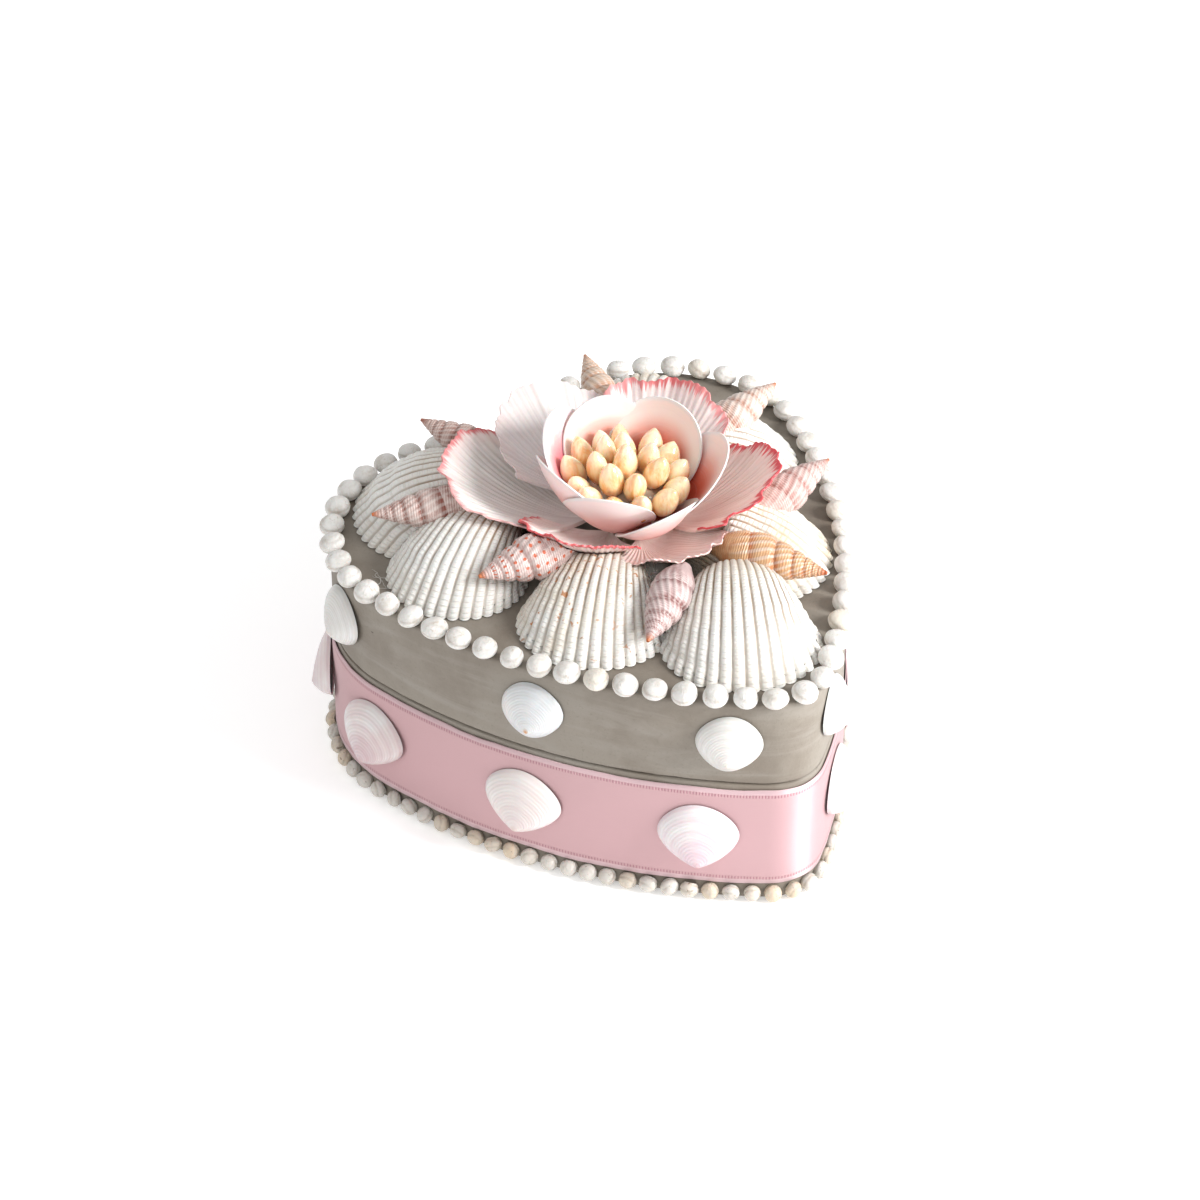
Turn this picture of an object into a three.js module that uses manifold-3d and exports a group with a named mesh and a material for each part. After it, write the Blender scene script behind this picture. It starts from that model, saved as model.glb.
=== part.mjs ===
import * as THREE from 'three';
import { mergeVertices } from 'three/addons/utils/BufferGeometryUtils.js';
import Module from 'manifold-3d';

const wasm = await Module();
wasm.setup();

// A heart-shaped craft box dressed with shells, in millimetres, +Z up. The origin lies on the
// underside, on the middle line of the heart at its lobe centres. The tip points towards -Y.

// Heart plan: two lobe circles, a tip circle and two long side arcs tangent to them
const LOBE_OFFSET = 36;
const LOBE_RADIUS = 46;
const SIDE_RADIUS = 188;
const TIP_RADIUS = 17;
const TIP_DROP = 106;
const ARC_STEPS = { tip: 3, side: 6, lobe: 11 };

// Box heights and walls
const BOX_HEIGHT = 78;
const RIM_HEIGHT = 46.4;
const WALL = 3;
const FLOOR = 3;
const LID_PANEL = 3;
const COLLAR_WALL = 2;
const COLLAR_STAND = 8;
const COLLAR_FIT = 0.4;

// Glue line kept between two pieces that touch
const GAP = 0.3;
const CUT_THROUGH = 5;

// Ribbon round the base
const RIBBON_WIDTH = 38;
const RIBBON_THICKNESS = 0.6;

// Rows of small domed shells: along the lid's edge and round the foot
const TOP_BEAD = { radius: 4.3, height: 5, pitch: 9, inset: 0.9 };
const FOOT_BEAD = { radius: 3, height: 4, pitch: 6.4, notchClear: 6 };
const BEAD_SECTION = [[-1, 0], [-0.62, 1], [0.62, 1], [1, 0]];
const BEAD_WAIST = 0.5;
const BEAD_STAGES = [[0, BEAD_WAIST], [0.5, 1]];

// Ribbed cockles lying mouth down on the lid. Station is the share of the way from the tip to the
// notch, negative on the left; inset is from the lid's edge; turn is away from the edge's normal.
const COCKLE_RIBS = 16;
const COCKLE_RELIEF = 0.018;
const COCKLE_COIL = 0.62;
const COCKLE_FLARE = 0.16;
const COCKLE_FLATTEN = 0.98;
const COCKLE_SPREAD = 2.85;
const COCKLE_ROOM_COLUMNS = 24;
const COCKLE_TURNS = [0, 0.42, 1.15, 2.5];
const COCKLES = [
  { station: -0.738, inset: 5, turn: 14, length: 46, width: 51 },
  { station: -0.482, inset: 5.8, turn: 8, length: 42, width: 44 },
  { station: -0.268, inset: 6, turn: 9, length: 41, width: 47 },
  { station: -0.07, inset: 5.6, turn: 7, length: 44, width: 49 },
  { station: 0.25, inset: 5.2, turn: -10, length: 45, width: 47 },
  { station: 0.475, inset: 6, turn: -3, length: 42, width: 45 },
  { station: 0.75, inset: 7, turn: -10, length: 40, width: 44 },
  { station: -0.945, inset: 7, turn: 25, length: 37, width: 40 },
];

// Spindle shells over the joints between the cockles, placed by their pointed end. Rise is the
// height of that end above the lid, pitch lifts it above the other end.
const SPINDLE_SIDES = 7;
const SPINDLE_BODY = [[0, 1], [0.34, 1], [0.88, 0.84], [1, 0.64]];
const SPINDLE_SUTURES = [0.52, 0.34, 0.17];
const SPINDLE_SPIRE = { length: 0.62, swell: 1.4, whorl: 1.02, suture: 0.84, step: 0.03 };
const SPINDLE_ROOM = [[0, 1], [0.4, 1], [0.9, 0.84], [1, 0.64], [0.8, 0.36], [0, -0.03]];
const SPINDLE_ROOM_SIDES = 6;
const SPINDLE_ROOM_SWELL = 1.12;
const SPINDLES = [
  { station: -0.642, inset: 12.8, turn: -9, rise: 14, pitch: -4, length: 37, radius: 6.6 },
  { station: -0.43, inset: 17.4, turn: -33, rise: 13, pitch: -6, length: 34, radius: 7.4 },
  { station: -0.192, inset: 11.6, turn: -7, rise: 11, pitch: -8, length: 33, radius: 6.6 },
  { station: 0.168, inset: 6, turn: -15, rise: 14, pitch: 0, length: 38, radius: 7 },
  { station: 0.379, inset: 2.2, turn: 37, rise: 16, pitch: 4, length: 38, radius: 6.6 },
  { station: 0.53, inset: 7.3, turn: 23, rise: 19, pitch: 10, length: 36, radius: 6.6 },
  { station: 0.867, inset: 9, turn: -25, rise: 20, pitch: 14, length: 36, radius: 6.6 },
  { station: -0.867, inset: 7.5, turn: 33, rise: 20, pitch: 12, length: 36, radius: 6.6 },
];

// Flower of thin valves, hollow side up, round an upright axis on the lid. Azimuth is from +X,
// reach and rise place the umbo from the axis and the lid, tilt lifts the margin.
const FLOWER = { x: 0.8, y: -28.5 };
const SCALLOP = {
  thickness: 1.4, coil: 2.5, fan: 0.95, columns: 12, relief: 0.45, spare: 0, edge: 0, widen: 0,
  reach: (ray) => 1 - 0.4 * ray ** 2,
};
const SCALLOP_TURNS = [0, 0.2, 0.55, 1.2];
const SCALLOPS = [
  { azimuth: 136, reach: 9, rise: 9, tilt: 19, roll: 5, length: 52 },
  { azimuth: 90, reach: 10, rise: 9.5, tilt: 25, roll: 6, length: 46 },
  { azimuth: 36, reach: 9, rise: 9, tilt: 29, roll: -6, length: 44 },
  { azimuth: -31, reach: 9, rise: 9, tilt: 26, roll: -8, length: 43.5 },
  { azimuth: -89, reach: 8, rise: 8, tilt: 20, roll: -4, length: 34 },
  { azimuth: -161, reach: 7, rise: 8, tilt: 28, roll: 6, length: 36.5 },
];
const CUP = {
  thickness: 1.2, coil: 1.8, fan: 1.15, columns: 6, relief: 0, spare: 0, edge: 0, widen: 0,
  reach: (ray) => Math.cos(ray) ** 1.2,
};
const CUP_TURNS = [0, 0.3, 0.75, 1.5];
const CUPS = [
  { azimuth: -143, reach: 5, rise: 11.5, tilt: 47, roll: 4, length: 31 },
  { azimuth: -92, reach: 6, rise: 10.5, tilt: 38, roll: 4, length: 30 },
  { azimuth: -40, reach: 5, rise: 12, tilt: 43, roll: 5, length: 37 },
  { azimuth: 20, reach: 5, rise: 12, tilt: 51, roll: 5, length: 34 },
  { azimuth: 72, reach: 5, rise: 12, tilt: 53, roll: 5, length: 33 },
  { azimuth: 122, reach: 5, rise: 12, tilt: 54, roll: 5, length: 36 },
  { azimuth: 170, reach: 5, rise: 12, tilt: 49, roll: 5, length: 34 },
];

// Rooms kept clear round a thin valve: a close one for its own kind, a coarse one for the rest
const CLOSE_ROOM = { spare: 0.38, edge: 0.6, widen: 0.06 };
const COARSE_ROOM = { columns: 6, turns: [0, 0.2, 0.55, 1.4], spare: 1.2, edge: 2, widen: 0.08 };

// Cream shells standing in the bowl, and the glue that they and the valves are set in
const STAMEN = { radius: 3.95, length: 13, sides: 5 };
const STAMEN_PROFILE = [[0, 0], [1, 0.36], [0.78, 0.72], [0, 1]];
const STAMEN_RINGS = [
  { count: 1, reach: 0, rise: 25, lean: 0 },
  { count: 7, reach: 7.4, rise: 23, lean: 16 },
  { count: 13, reach: 13.4, rise: 19.5, lean: 34 },
];
const GLUE_PROFILE = [[0, 0], [8, 0], [4, 6], [4, 14], [13, 18], [15, 23], [0, 27]];
const GLUE_SIDES = 8;

// Clams glued to the walls, umbo down. Lift is above the seam or above the ribbon's lower edge.
const CLAM_SIDES = 9;
const CLAM_NARROWING = 0.16;
const CLAM_RINGS = [[1, 0], [0.72, 0.62], [0.26, 1]];
const LID_CLAM = { width: 20, height: 19.5, bulge: 6, umbo: 0.3, lift: 16.5 };
const LID_CLAM_STATIONS = [-0.8, -0.6, -0.318, -0.088, 0.067, 0.262, 0.48, 0.72];
const RIBBON_CLAM = { width: 25, height: 22, bulge: 6.5, umbo: 0.12, lift: 20 };
const RIBBON_CLAM_STATIONS = [-0.88, -0.685, -0.541, -0.33, -0.122, 0.097, 0.25, 0.46, 0.67, 0.87];

// Room left round a piece that another one is cut clear of, and levels tied to the sizes above
const CLEARANCE = 0.35;
const LID_BOTTOM = RIM_HEIGHT + GAP;
const LID_TOP = BOX_HEIGHT + GAP;
const RIBBON_BOTTOM = 2 * GAP + 2 * FOOT_BEAD.radius;
const RIBBON_OUTER = GAP + RIBBON_THICKNESS;

const rad = THREE.MathUtils.degToRad;
const lerp = THREE.MathUtils.lerp;

// Folds a share back into the range from -1 to 1 round the closed rim
function wrap(share) {
  return share < -1 ? share + 2 : share;
}

function material(color, roughness) {
  return new THREE.MeshStandardMaterial({ color, roughness, metalness: 0, flatShading: true });
}

function arcOf(centre, radius, from, to, steps) {
  return { centre, radius, from, to, steps };
}

// Right half of the heart, from the tip to the notch, moved outwards by offset
function heartArcs(offset) {
  const lobe = new THREE.Vector2(LOBE_OFFSET, 0);
  const tip = new THREE.Vector2(0, -TIP_DROP);
  const span = tip.clone().sub(lobe);
  const unit = span.clone().normalize();
  const toLobe = SIDE_RADIUS - LOBE_RADIUS;
  const toTip = SIDE_RADIUS - TIP_RADIUS;
  const along = (toLobe ** 2 - toTip ** 2 + span.lengthSq()) / (2 * span.length());
  const across = Math.sqrt(toLobe ** 2 - along ** 2);
  const side = lobe.clone().addScaledVector(unit, along);
  side.add(new THREE.Vector2(unit.y, -unit.x).multiplyScalar(across));
  const tipAngle = Math.atan2(tip.y - side.y, tip.x - side.x);
  const lobeAngle = Math.atan2(lobe.y - side.y, lobe.x - side.x);
  const notchAngle = Math.acos(-LOBE_OFFSET / (LOBE_RADIUS + offset));
  return [
    arcOf(tip, TIP_RADIUS + offset, -Math.PI / 2, tipAngle, ARC_STEPS.tip),
    arcOf(side, SIDE_RADIUS + offset, tipAngle, lobeAngle, ARC_STEPS.side),
    arcOf(lobe, LOBE_RADIUS + offset, lobeAngle, notchAngle, ARC_STEPS.lobe),
  ];
}

function arcPoint(arc, angle) {
  const x = arc.centre.x + arc.radius * Math.cos(angle);
  return new THREE.Vector2(x, arc.centre.y + arc.radius * Math.sin(angle));
}

function heartOutline(offset) {
  const right = [];
  for (const arc of heartArcs(offset)) {
    for (let i = 0; i < arc.steps; i += 1) {
      right.push(arcPoint(arc, lerp(arc.from, arc.to, i / arc.steps)));
    }
  }
  const notch = new THREE.Vector2(0, Math.sqrt((LOBE_RADIUS + offset) ** 2 - LOBE_OFFSET ** 2));
  const left = right.slice(1).reverse().map((point) => new THREE.Vector2(-point.x, point.y));
  return [...right, notch, ...left];
}

function halfLength(offset) {
  return heartArcs(offset).reduce((sum, arc) => sum + arc.radius * (arc.to - arc.from), 0);
}

// Point and outward heading at a share of the way from the tip to the notch
function rimStation(share, offset) {
  const arcs = heartArcs(offset);
  let walk = Math.abs(share) * halfLength(offset);
  let arc = arcs.shift();
  while (arcs.length > 0 && walk > arc.radius * (arc.to - arc.from)) {
    walk -= arc.radius * (arc.to - arc.from);
    arc = arcs.shift();
  }
  const angle = arc.from + walk / arc.radius;
  const point = arcPoint(arc, angle);
  const onRight = share >= 0;
  return { x: onRight ? point.x : -point.x, y: point.y, heading: onRight ? angle : Math.PI - angle };
}

function solidOf(geometry) {
  const bare = geometry.clone();
  for (const name of Object.keys(bare.attributes)) {
    if (name !== 'position') bare.deleteAttribute(name);
  }
  const merged = mergeVertices(bare, 1e-4);
  const corners = [];
  for (let i = 0; i < merged.index.count; i += 3) {
    const [a, b, c] = [0, 1, 2].map((step) => merged.index.getX(i + step));
    if (a !== b && b !== c && c !== a) corners.push(a, b, c);
  }
  const vertProperties = new Float32Array(merged.attributes.position.array);
  const triVerts = new Uint32Array(corners);
  return new wasm.Manifold(new wasm.Mesh({ numProp: 3, vertProperties, triVerts }));
}

function geometryOf(solid) {
  const mesh = solid.getMesh();
  const geometry = new THREE.BufferGeometry();
  geometry.setAttribute('position', new THREE.BufferAttribute(mesh.vertProperties, 3));
  geometry.setIndex(new THREE.BufferAttribute(mesh.triVerts, 1));
  return geometry;
}

function cut(geometry, tool) {
  return geometryOf(solidOf(geometry).subtract(solidOf(tool)));
}

// Indexed geometry from points and faces, turned so that its faces point out
function bodyFrom(points, faces) {
  let volume = 0;
  for (const [a, b, c] of faces) {
    volume += points[a].dot(new THREE.Vector3().crossVectors(points[b], points[c]));
  }
  const geometry = new THREE.BufferGeometry().setFromPoints(points);
  geometry.setIndex(faces.flatMap(([a, b, c]) => (volume < 0 ? [a, c, b] : [a, b, c])));
  return geometry;
}

// Faces between rings of points, the last joined to the first where the body is a closed loop
function ringFaces(rows, count, closed) {
  const faces = [];
  for (let row = 0; row < (closed ? rows : rows - 1); row += 1) {
    const next = ((row + 1) % rows) * count;
    for (let i = 0; i < count; i += 1) {
      const j = (i + 1) % count;
      faces.push([row * count + i, row * count + j, next + j], [row * count + i, next + j, next + i]);
    }
  }
  return faces;
}

// Closed body through rings with the same number of points, flat across both ends
function loft(rings, flatRing) {
  const count = rings[0].length;
  const faces = ringFaces(rings.length, count, false);
  const last = (rings.length - 1) * count;
  const clockwise = THREE.ShapeUtils.isClockWise(flatRing);
  for (const [a, b, c] of THREE.ShapeUtils.triangulateShape(flatRing, [])) {
    const [first, third] = clockwise ? [c, a] : [a, c];
    faces.push([third, b, first], [last + first, last + b, last + third]);
  }
  return bodyFrom(rings.flat(), faces);
}

// Closed plate between two grids of points with the same rows and columns
function plate(outer, inner) {
  const columns = outer[0].length;
  const shift = outer.length * columns;
  const faces = [];
  for (let row = 0; row + 1 < outer.length; row += 1) {
    for (let i = 0; i + 1 < columns; i += 1) {
      const a = row * columns + i;
      const [b, c, d] = [a + 1, a + columns + 1, a + columns];
      faces.push([a, b, c], [a, c, d]);
      faces.push([shift + c, shift + b, shift + a], [shift + d, shift + c, shift + a]);
    }
  }
  const border = [];
  const last = shift - columns;
  for (let i = 0; i + 1 < columns; i += 1) border.push([i + 1, i], [last + i, last + i + 1]);
  for (let row = 0; row < last; row += columns) {
    border.push([row, row + columns], [row + 2 * columns - 1, row + columns - 1]);
  }
  for (const [a, b] of border) faces.push([a, b, shift + b], [a, shift + b, shift + a]);
  return bodyFrom([...outer.flat(), ...inner.flat()], faces);
}

const shellBox = new THREE.Group();

// Cuts a placed piece clear of the room that its placed neighbours take up, and keeps its main body
function clearOf(mesh, neighbours, kind = 'room') {
  shellBox.updateMatrixWorld(true);
  const toLocal = mesh.matrixWorld.clone().invert();
  const box = new THREE.Box3().setFromObject(mesh).expandByScalar(CLEARANCE);
  let solid = solidOf(mesh.geometry);
  for (const other of neighbours) {
    if (!box.intersectsBox(new THREE.Box3().setFromObject(other))) continue;
    const tool = other.userData[kind].clone().applyMatrix4(other.matrixWorld).applyMatrix4(toLocal);
    solid = solid.subtract(solidOf(tool));
  }
  const bodies = solid.decompose().sort((a, b) => b.volume() - a.volume());
  mesh.geometry = geometryOf(bodies[0]);
}

function heartPrism(offset, bottom, top) {
  const shape = new THREE.Shape(heartOutline(offset));
  const geometry = new THREE.ExtrudeGeometry(shape, { depth: top - bottom, bevelEnabled: false });
  return geometry.translate(0, 0, bottom);
}

function heartBand(outer, inner, bottom, top) {
  return cut(heartPrism(outer, bottom, top), heartPrism(inner, bottom - CUT_THROUGH, top + CUT_THROUGH));
}

function boxBase() {
  return cut(heartPrism(0, 0, RIM_HEIGHT), heartPrism(-WALL, FLOOR, RIM_HEIGHT + CUT_THROUGH));
}

function boxLid() {
  const hollow = heartPrism(-WALL, LID_BOTTOM - CUT_THROUGH, BOX_HEIGHT - LID_PANEL);
  return cut(heartPrism(0, LID_BOTTOM, BOX_HEIGHT), hollow);
}

// Row of touching domes: each stage is a trapezium across the row, narrow where two domes meet
function beadChain(bead, stages, placeCorner, closed) {
  const rings = stages.map(([spot, scale]) => BEAD_SECTION.map(([across, high]) => {
    return placeCorner(spot, across * scale * bead.radius, high * scale * bead.height);
  }));
  if (closed) return bodyFrom(rings.flat(), ringFaces(rings.length, BEAD_SECTION.length, true));
  return loft(rings, BEAD_SECTION.map(([x, y]) => new THREE.Vector2(x, y)));
}

function beadStages(count, spotAt) {
  const stages = [];
  for (let i = 0; i < count; i += 1) {
    for (const [share, scale] of BEAD_STAGES) stages.push([spotAt((i + share - 0.5) / count), scale]);
  }
  return stages;
}

function fuse(geometries) {
  const solids = geometries.map(solidOf);
  return geometryOf(solids.reduce((sum, solid) => sum.add(solid)));
}

// Domes standing on the lid along its edge, one of them in the notch
function topBeadRow() {
  const offset = -TOP_BEAD.inset;
  const count = 2 * Math.round(halfLength(offset) / TOP_BEAD.pitch);
  const stages = beadStages(count, (share) => rimStation(wrap(2 * share - 1), offset));
  return beadChain(TOP_BEAD, stages, ({ x, y, heading }, across, high) => new THREE.Vector3(
    x + across * Math.cos(heading),
    y + across * Math.sin(heading),
    LID_TOP + high,
  ), true);
}

// Domes with their backs on the foot of the wall
function footBeadRow() {
  const end = 1 - FOOT_BEAD.notchClear / halfLength(GAP);
  const count = Math.round((2 * end * halfLength(GAP)) / FOOT_BEAD.pitch);
  const stages = beadStages(count, (share) => rimStation(end * (2 * share + 1 / count - 1), GAP));
  stages.push([rimStation(end, GAP), BEAD_WAIST]);
  return beadChain(FOOT_BEAD, stages, ({ x, y, heading }, across, high) => new THREE.Vector3(
    x + high * Math.cos(heading),
    y + high * Math.sin(heading),
    GAP + FOOT_BEAD.radius + across,
  ), false);
}

// A valve grows from its umbo: each stage is the margin turned about the hinge and shrunk
function ribbedValve({ length, width }, columns, depth) {
  const flat = [];
  for (let i = 0; i <= columns; i += 1) {
    const around = lerp(-COCKLE_SPREAD, COCKLE_SPREAD, i / columns);
    const relief = 1 + (i % 2 === 1 ? depth : -depth);
    const y = (relief * length * (1 + Math.cos(around))) / 2;
    flat.push(new THREE.Vector2((relief * width * Math.sin(around)) / 2, y));
  }
  const rings = COCKLE_TURNS.map((turn) => {
    const shrink = Math.exp(-COCKLE_COIL * turn);
    const wide = shrink * Math.exp(COCKLE_FLARE * turn);
    const high = shrink * COCKLE_FLATTEN * Math.sin(turn);
    return flat.map(({ x, y }) => new THREE.Vector3(x * wide, y * shrink * Math.cos(turn), y * high));
  });
  return loft(rings, flat).translate(0, -length, 0);
}

function cockleShell(spec) {
  return ribbedValve(spec, 2 * COCKLE_RIBS, COCKLE_RELIEF);
}

function cockleRoom({ length, width }) {
  const spare = 2 * (CLEARANCE + COCKLE_RELIEF * length);
  const room = ribbedValve({ length: length + spare, width: width + spare }, COCKLE_ROOM_COLUMNS, 0);
  return geometryOf(solidOf(room).hull()).translate(0, spare / 2, -GAP);
}

// Point on the outer skin of a thin valve: its dish hangs below the plane of its margin
function valvePoint(valve, length, column, turn) {
  const inside = THREE.MathUtils.clamp(column, 0, valve.columns);
  const ray = lerp(-valve.fan, valve.fan, inside / valve.columns) + (column - inside) * valve.widen;
  const shrink = Math.exp(-valve.coil * turn) * (length * valve.reach(ray) + valve.edge);
  const along = shrink * Math.cos(ray);
  return new THREE.Vector3(shrink * Math.sin(ray), along * Math.cos(turn), -along * Math.sin(turn));
}

function valveNormal(valve, length, column, turn) {
  const step = 0.01;
  const here = valvePoint(valve, length, column, turn);
  const across = valvePoint(valve, length, column + step, turn).sub(here);
  const down = valvePoint(valve, length, column, turn + step).sub(here);
  return across.cross(down).normalize();
}

// Thin valve of even thickness, its skin pushed out by spare where it stands for a room
function thinValve(valve, turns, length) {
  const outer = [];
  const inner = [];
  const through = valve.thickness + 2 * valve.spare;
  const beyond = valve.widen > 0 ? 1 : 0;
  for (const turn of turns) {
    const relief = valve.relief * Math.exp(-valve.coil * turn);
    const outerRow = [];
    const innerRow = [];
    for (let column = -beyond; column <= valve.columns + beyond; column += 1) {
      const normal = valveNormal(valve, length, column, turn);
      const lift = (column % 2 === 0 ? -relief : relief) - valve.spare;
      const point = valvePoint(valve, length, column, turn).addScaledVector(normal, lift);
      outerRow.push(point);
      innerRow.push(point.clone().addScaledVector(normal, through));
    }
    outer.push(outerRow);
    inner.push(innerRow);
  }
  return plate(outer, inner);
}

function valveRooms(valve, turns, length) {
  const close = { ...valve, ...CLOSE_ROOM, relief: 0, spare: CLOSE_ROOM.spare + valve.relief };
  const coarse = { ...valve, ...COARSE_ROOM, relief: 0 };
  return [thinValve(close, turns, length), thinValve(coarse, coarse.turns, length)];
}

// A whorled shell with its pointed end at the origin, its body towards -Y
function spindleShell({ length, radius }) {
  const spire = SPINDLE_SPIRE;
  const profile = [...SPINDLE_BODY];
  for (const share of SPINDLE_SUTURES) {
    const reach = Math.sin((share / spire.length) * spire.swell);
    profile.push([reach * spire.whorl, share + spire.step], [reach * spire.suture, share]);
  }
  profile.push([0, 0]);
  const points = profile.map(([out, down]) => new THREE.Vector2(out * radius, -down * length));
  return new THREE.LatheGeometry(points, SPINDLE_SIDES);
}

function spindleRoom({ length, radius }) {
  const swollen = radius * SPINDLE_ROOM_SWELL + CLEARANCE;
  const points = SPINDLE_ROOM.map(([out, down]) => new THREE.Vector2(out * swollen, -down * length));
  return new THREE.LatheGeometry(points, SPINDLE_ROOM_SIDES);
}

function stamenShell() {
  const { radius, length, sides } = STAMEN;
  const points = STAMEN_PROFILE.map(([x, y]) => new THREE.Vector2(x * radius, y * length));
  return new THREE.LatheGeometry(points, sides).rotateX(Math.PI / 2);
}

// Pointed shells standing in the bowl, fused with the glue under them
function stamenCluster() {
  const profile = GLUE_PROFILE.map(([x, y]) => new THREE.Vector2(x, y + GAP));
  const parts = [new THREE.LatheGeometry(profile, GLUE_SIDES).rotateX(Math.PI / 2)];
  for (const ring of STAMEN_RINGS) {
    for (let i = 0; i < ring.count; i += 1) {
      const azimuth = (i / ring.count) * 2 * Math.PI;
      const shell = stamenShell().rotateY(rad(ring.lean)).translate(ring.reach, 0, ring.rise);
      parts.push(shell.rotateZ(azimuth));
    }
  }
  return fuse(parts);
}

// A smooth valve, mouth to the wall, its back on the local XY plane and its umbo towards -Y
function clamShell({ width, height, bulge, umbo }) {
  const flat = [];
  for (let i = 0; i < CLAM_SIDES; i += 1) {
    const angle = (i / CLAM_SIDES) * 2 * Math.PI - Math.PI / 2;
    const narrow = 1 - CLAM_NARROWING * Math.max(0, -Math.sin(angle));
    const x = (narrow * width * Math.cos(angle)) / 2;
    flat.push(new THREE.Vector2(x, (height * Math.sin(angle)) / 2));
  }
  const peak = height * (umbo - 0.5);
  const rings = CLAM_RINGS.map(([share, rise]) => flat.map(({ x, y }) => {
    return new THREE.Vector3(x * share, peak + (y - peak) * share, rise * bulge);
  }));
  return loft(rings, flat);
}

function place(name, geometry, look) {
  const mesh = new THREE.Mesh(geometry, look);
  mesh.name = name;
  shellBox.add(mesh);
  return mesh;
}

place('box_base', boxBase(), material(0x9a9488, 0.75));
const collarOffset = -(WALL + COLLAR_FIT);
const collar = heartBand(collarOffset, collarOffset - COLLAR_WALL, FLOOR + GAP, RIM_HEIGHT + COLLAR_STAND);
place('inner_collar', collar, material(0xb9b2a6, 0.8));
place('lid', boxLid(), material(0x9a9488, 0.75));
const ribbon = heartBand(RIBBON_OUTER, GAP, RIBBON_BOTTOM, RIBBON_BOTTOM + RIBBON_WIDTH);
place('ribbon', ribbon, material(0xe8b3bd, 0.4));
const topBeads = place('top_bead_row', topBeadRow(), material(0xeeece6, 0.6));
const besideBeads = -(TOP_BEAD.inset + TOP_BEAD.radius + CLEARANCE);
const aboveBeads = LID_TOP + TOP_BEAD.height + GAP;
topBeads.userData.room = heartBand(TOP_BEAD.radius, besideBeads, LID_TOP - GAP, aboveBeads);
place('bottom_bead_row', footBeadRow(), material(0xd8d2c6, 0.6));

// Lays a piece on the lid by the station of its outer end, heading outwards
function layOnLid(mesh, { station, inset, turn, rise = 0, pitch = 0 }) {
  const spot = rimStation(station, 0);
  mesh.position.x = spot.x - inset * Math.cos(spot.heading);
  mesh.position.y = spot.y - inset * Math.sin(spot.heading);
  mesh.position.z = LID_TOP + rise;
  mesh.rotation.set(rad(pitch), 0, spot.heading + rad(turn) - Math.PI / 2, 'ZXY');
}

function setInFlower(mesh, { azimuth, reach, rise, tilt, roll }) {
  const angle = rad(azimuth);
  mesh.position.set(reach * Math.cos(angle), reach * Math.sin(angle), rise);
  mesh.rotation.set(rad(tilt), rad(roll), angle - Math.PI / 2, 'ZXY');
}

const flower = new THREE.Group();
flower.position.set(FLOWER.x, FLOWER.y, LID_TOP);
shellBox.add(flower);

function flowerValves(prefix, specs, valve, turns, look) {
  return specs.map((spec, i) => {
    const mesh = place(`${prefix}_${i + 1}`, thinValve(valve, turns, spec.length), look);
    [mesh.userData.closeRoom, mesh.userData.room] = valveRooms(valve, turns, spec.length);
    flower.add(mesh);
    setInFlower(mesh, spec);
    return mesh;
  });
}

const cups = flowerValves('cup_petal', CUPS, CUP, CUP_TURNS, material(0xf3c9c5, 0.35));
cups.forEach((cup, i) => clearOf(cup, cups.slice(0, i), 'closeRoom'));

const scallopLook = material(0xeccfcb, 0.5);
const scallops = flowerValves('scallop_petal', SCALLOPS, SCALLOP, SCALLOP_TURNS, scallopLook);
scallops.forEach((scallop, i) => clearOf(scallop, [...cups, ...scallops.slice(0, i)], 'closeRoom'));

const stamens = place('stamen_cluster', stamenCluster(), material(0xf1dcae, 0.3));
flower.add(stamens);
clearOf(stamens, [...cups, ...scallops], 'closeRoom');

const spindles = SPINDLES.map((spec, i) => {
  const spindle = place(`spindle_${i + 1}`, spindleShell(spec), material(0xd3a894, 0.5));
  spindle.userData.room = spindleRoom(spec);
  layOnLid(spindle, spec);
  return spindle;
});
spindles.forEach((spindle) => clearOf(spindle, [...scallops, ...cups]));

const cockles = COCKLES.map((spec, i) => {
  const cockle = place(`cockle_${i + 1}`, cockleShell(spec), material(0xf0ede4, 0.65));
  cockle.userData.room = cockleRoom(spec);
  layOnLid(cockle, spec);
  return cockle;
});
cockles.forEach((cockle, i) => {
  clearOf(cockle, [topBeads, ...spindles, ...scallops, ...cups, ...cockles.slice(i + 1)]);
});

function clamsOnWall(prefix, clam, stations, offset, level, look) {
  stations.forEach((station, i) => {
    const mesh = place(`${prefix}_${i + 1}`, clamShell(clam), look);
    const spot = rimStation(station, offset);
    mesh.position.set(spot.x, spot.y, level);
    mesh.rotation.set(Math.PI / 2, 0, spot.heading + Math.PI / 2, 'ZXY');
  });
}

const lidClamLook = material(0xe6e6e4, 0.4);
clamsOnWall('lid_clam', LID_CLAM, LID_CLAM_STATIONS, GAP, LID_BOTTOM + LID_CLAM.lift, lidClamLook);
const onRibbon = RIBBON_OUTER + GAP;
const ribbonClamLevel = RIBBON_BOTTOM + RIBBON_CLAM.lift;
const ribbonClamLook = material(0xe9cdd0, 0.4);
clamsOnWall('ribbon_clam', RIBBON_CLAM, RIBBON_CLAM_STATIONS, onRibbon, ribbonClamLevel, ribbonClamLook);

export default shellBox;
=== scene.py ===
import math

import bpy
import numpy as np
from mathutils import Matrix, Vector
from mathutils.bvhtree import BVHTree


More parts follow.
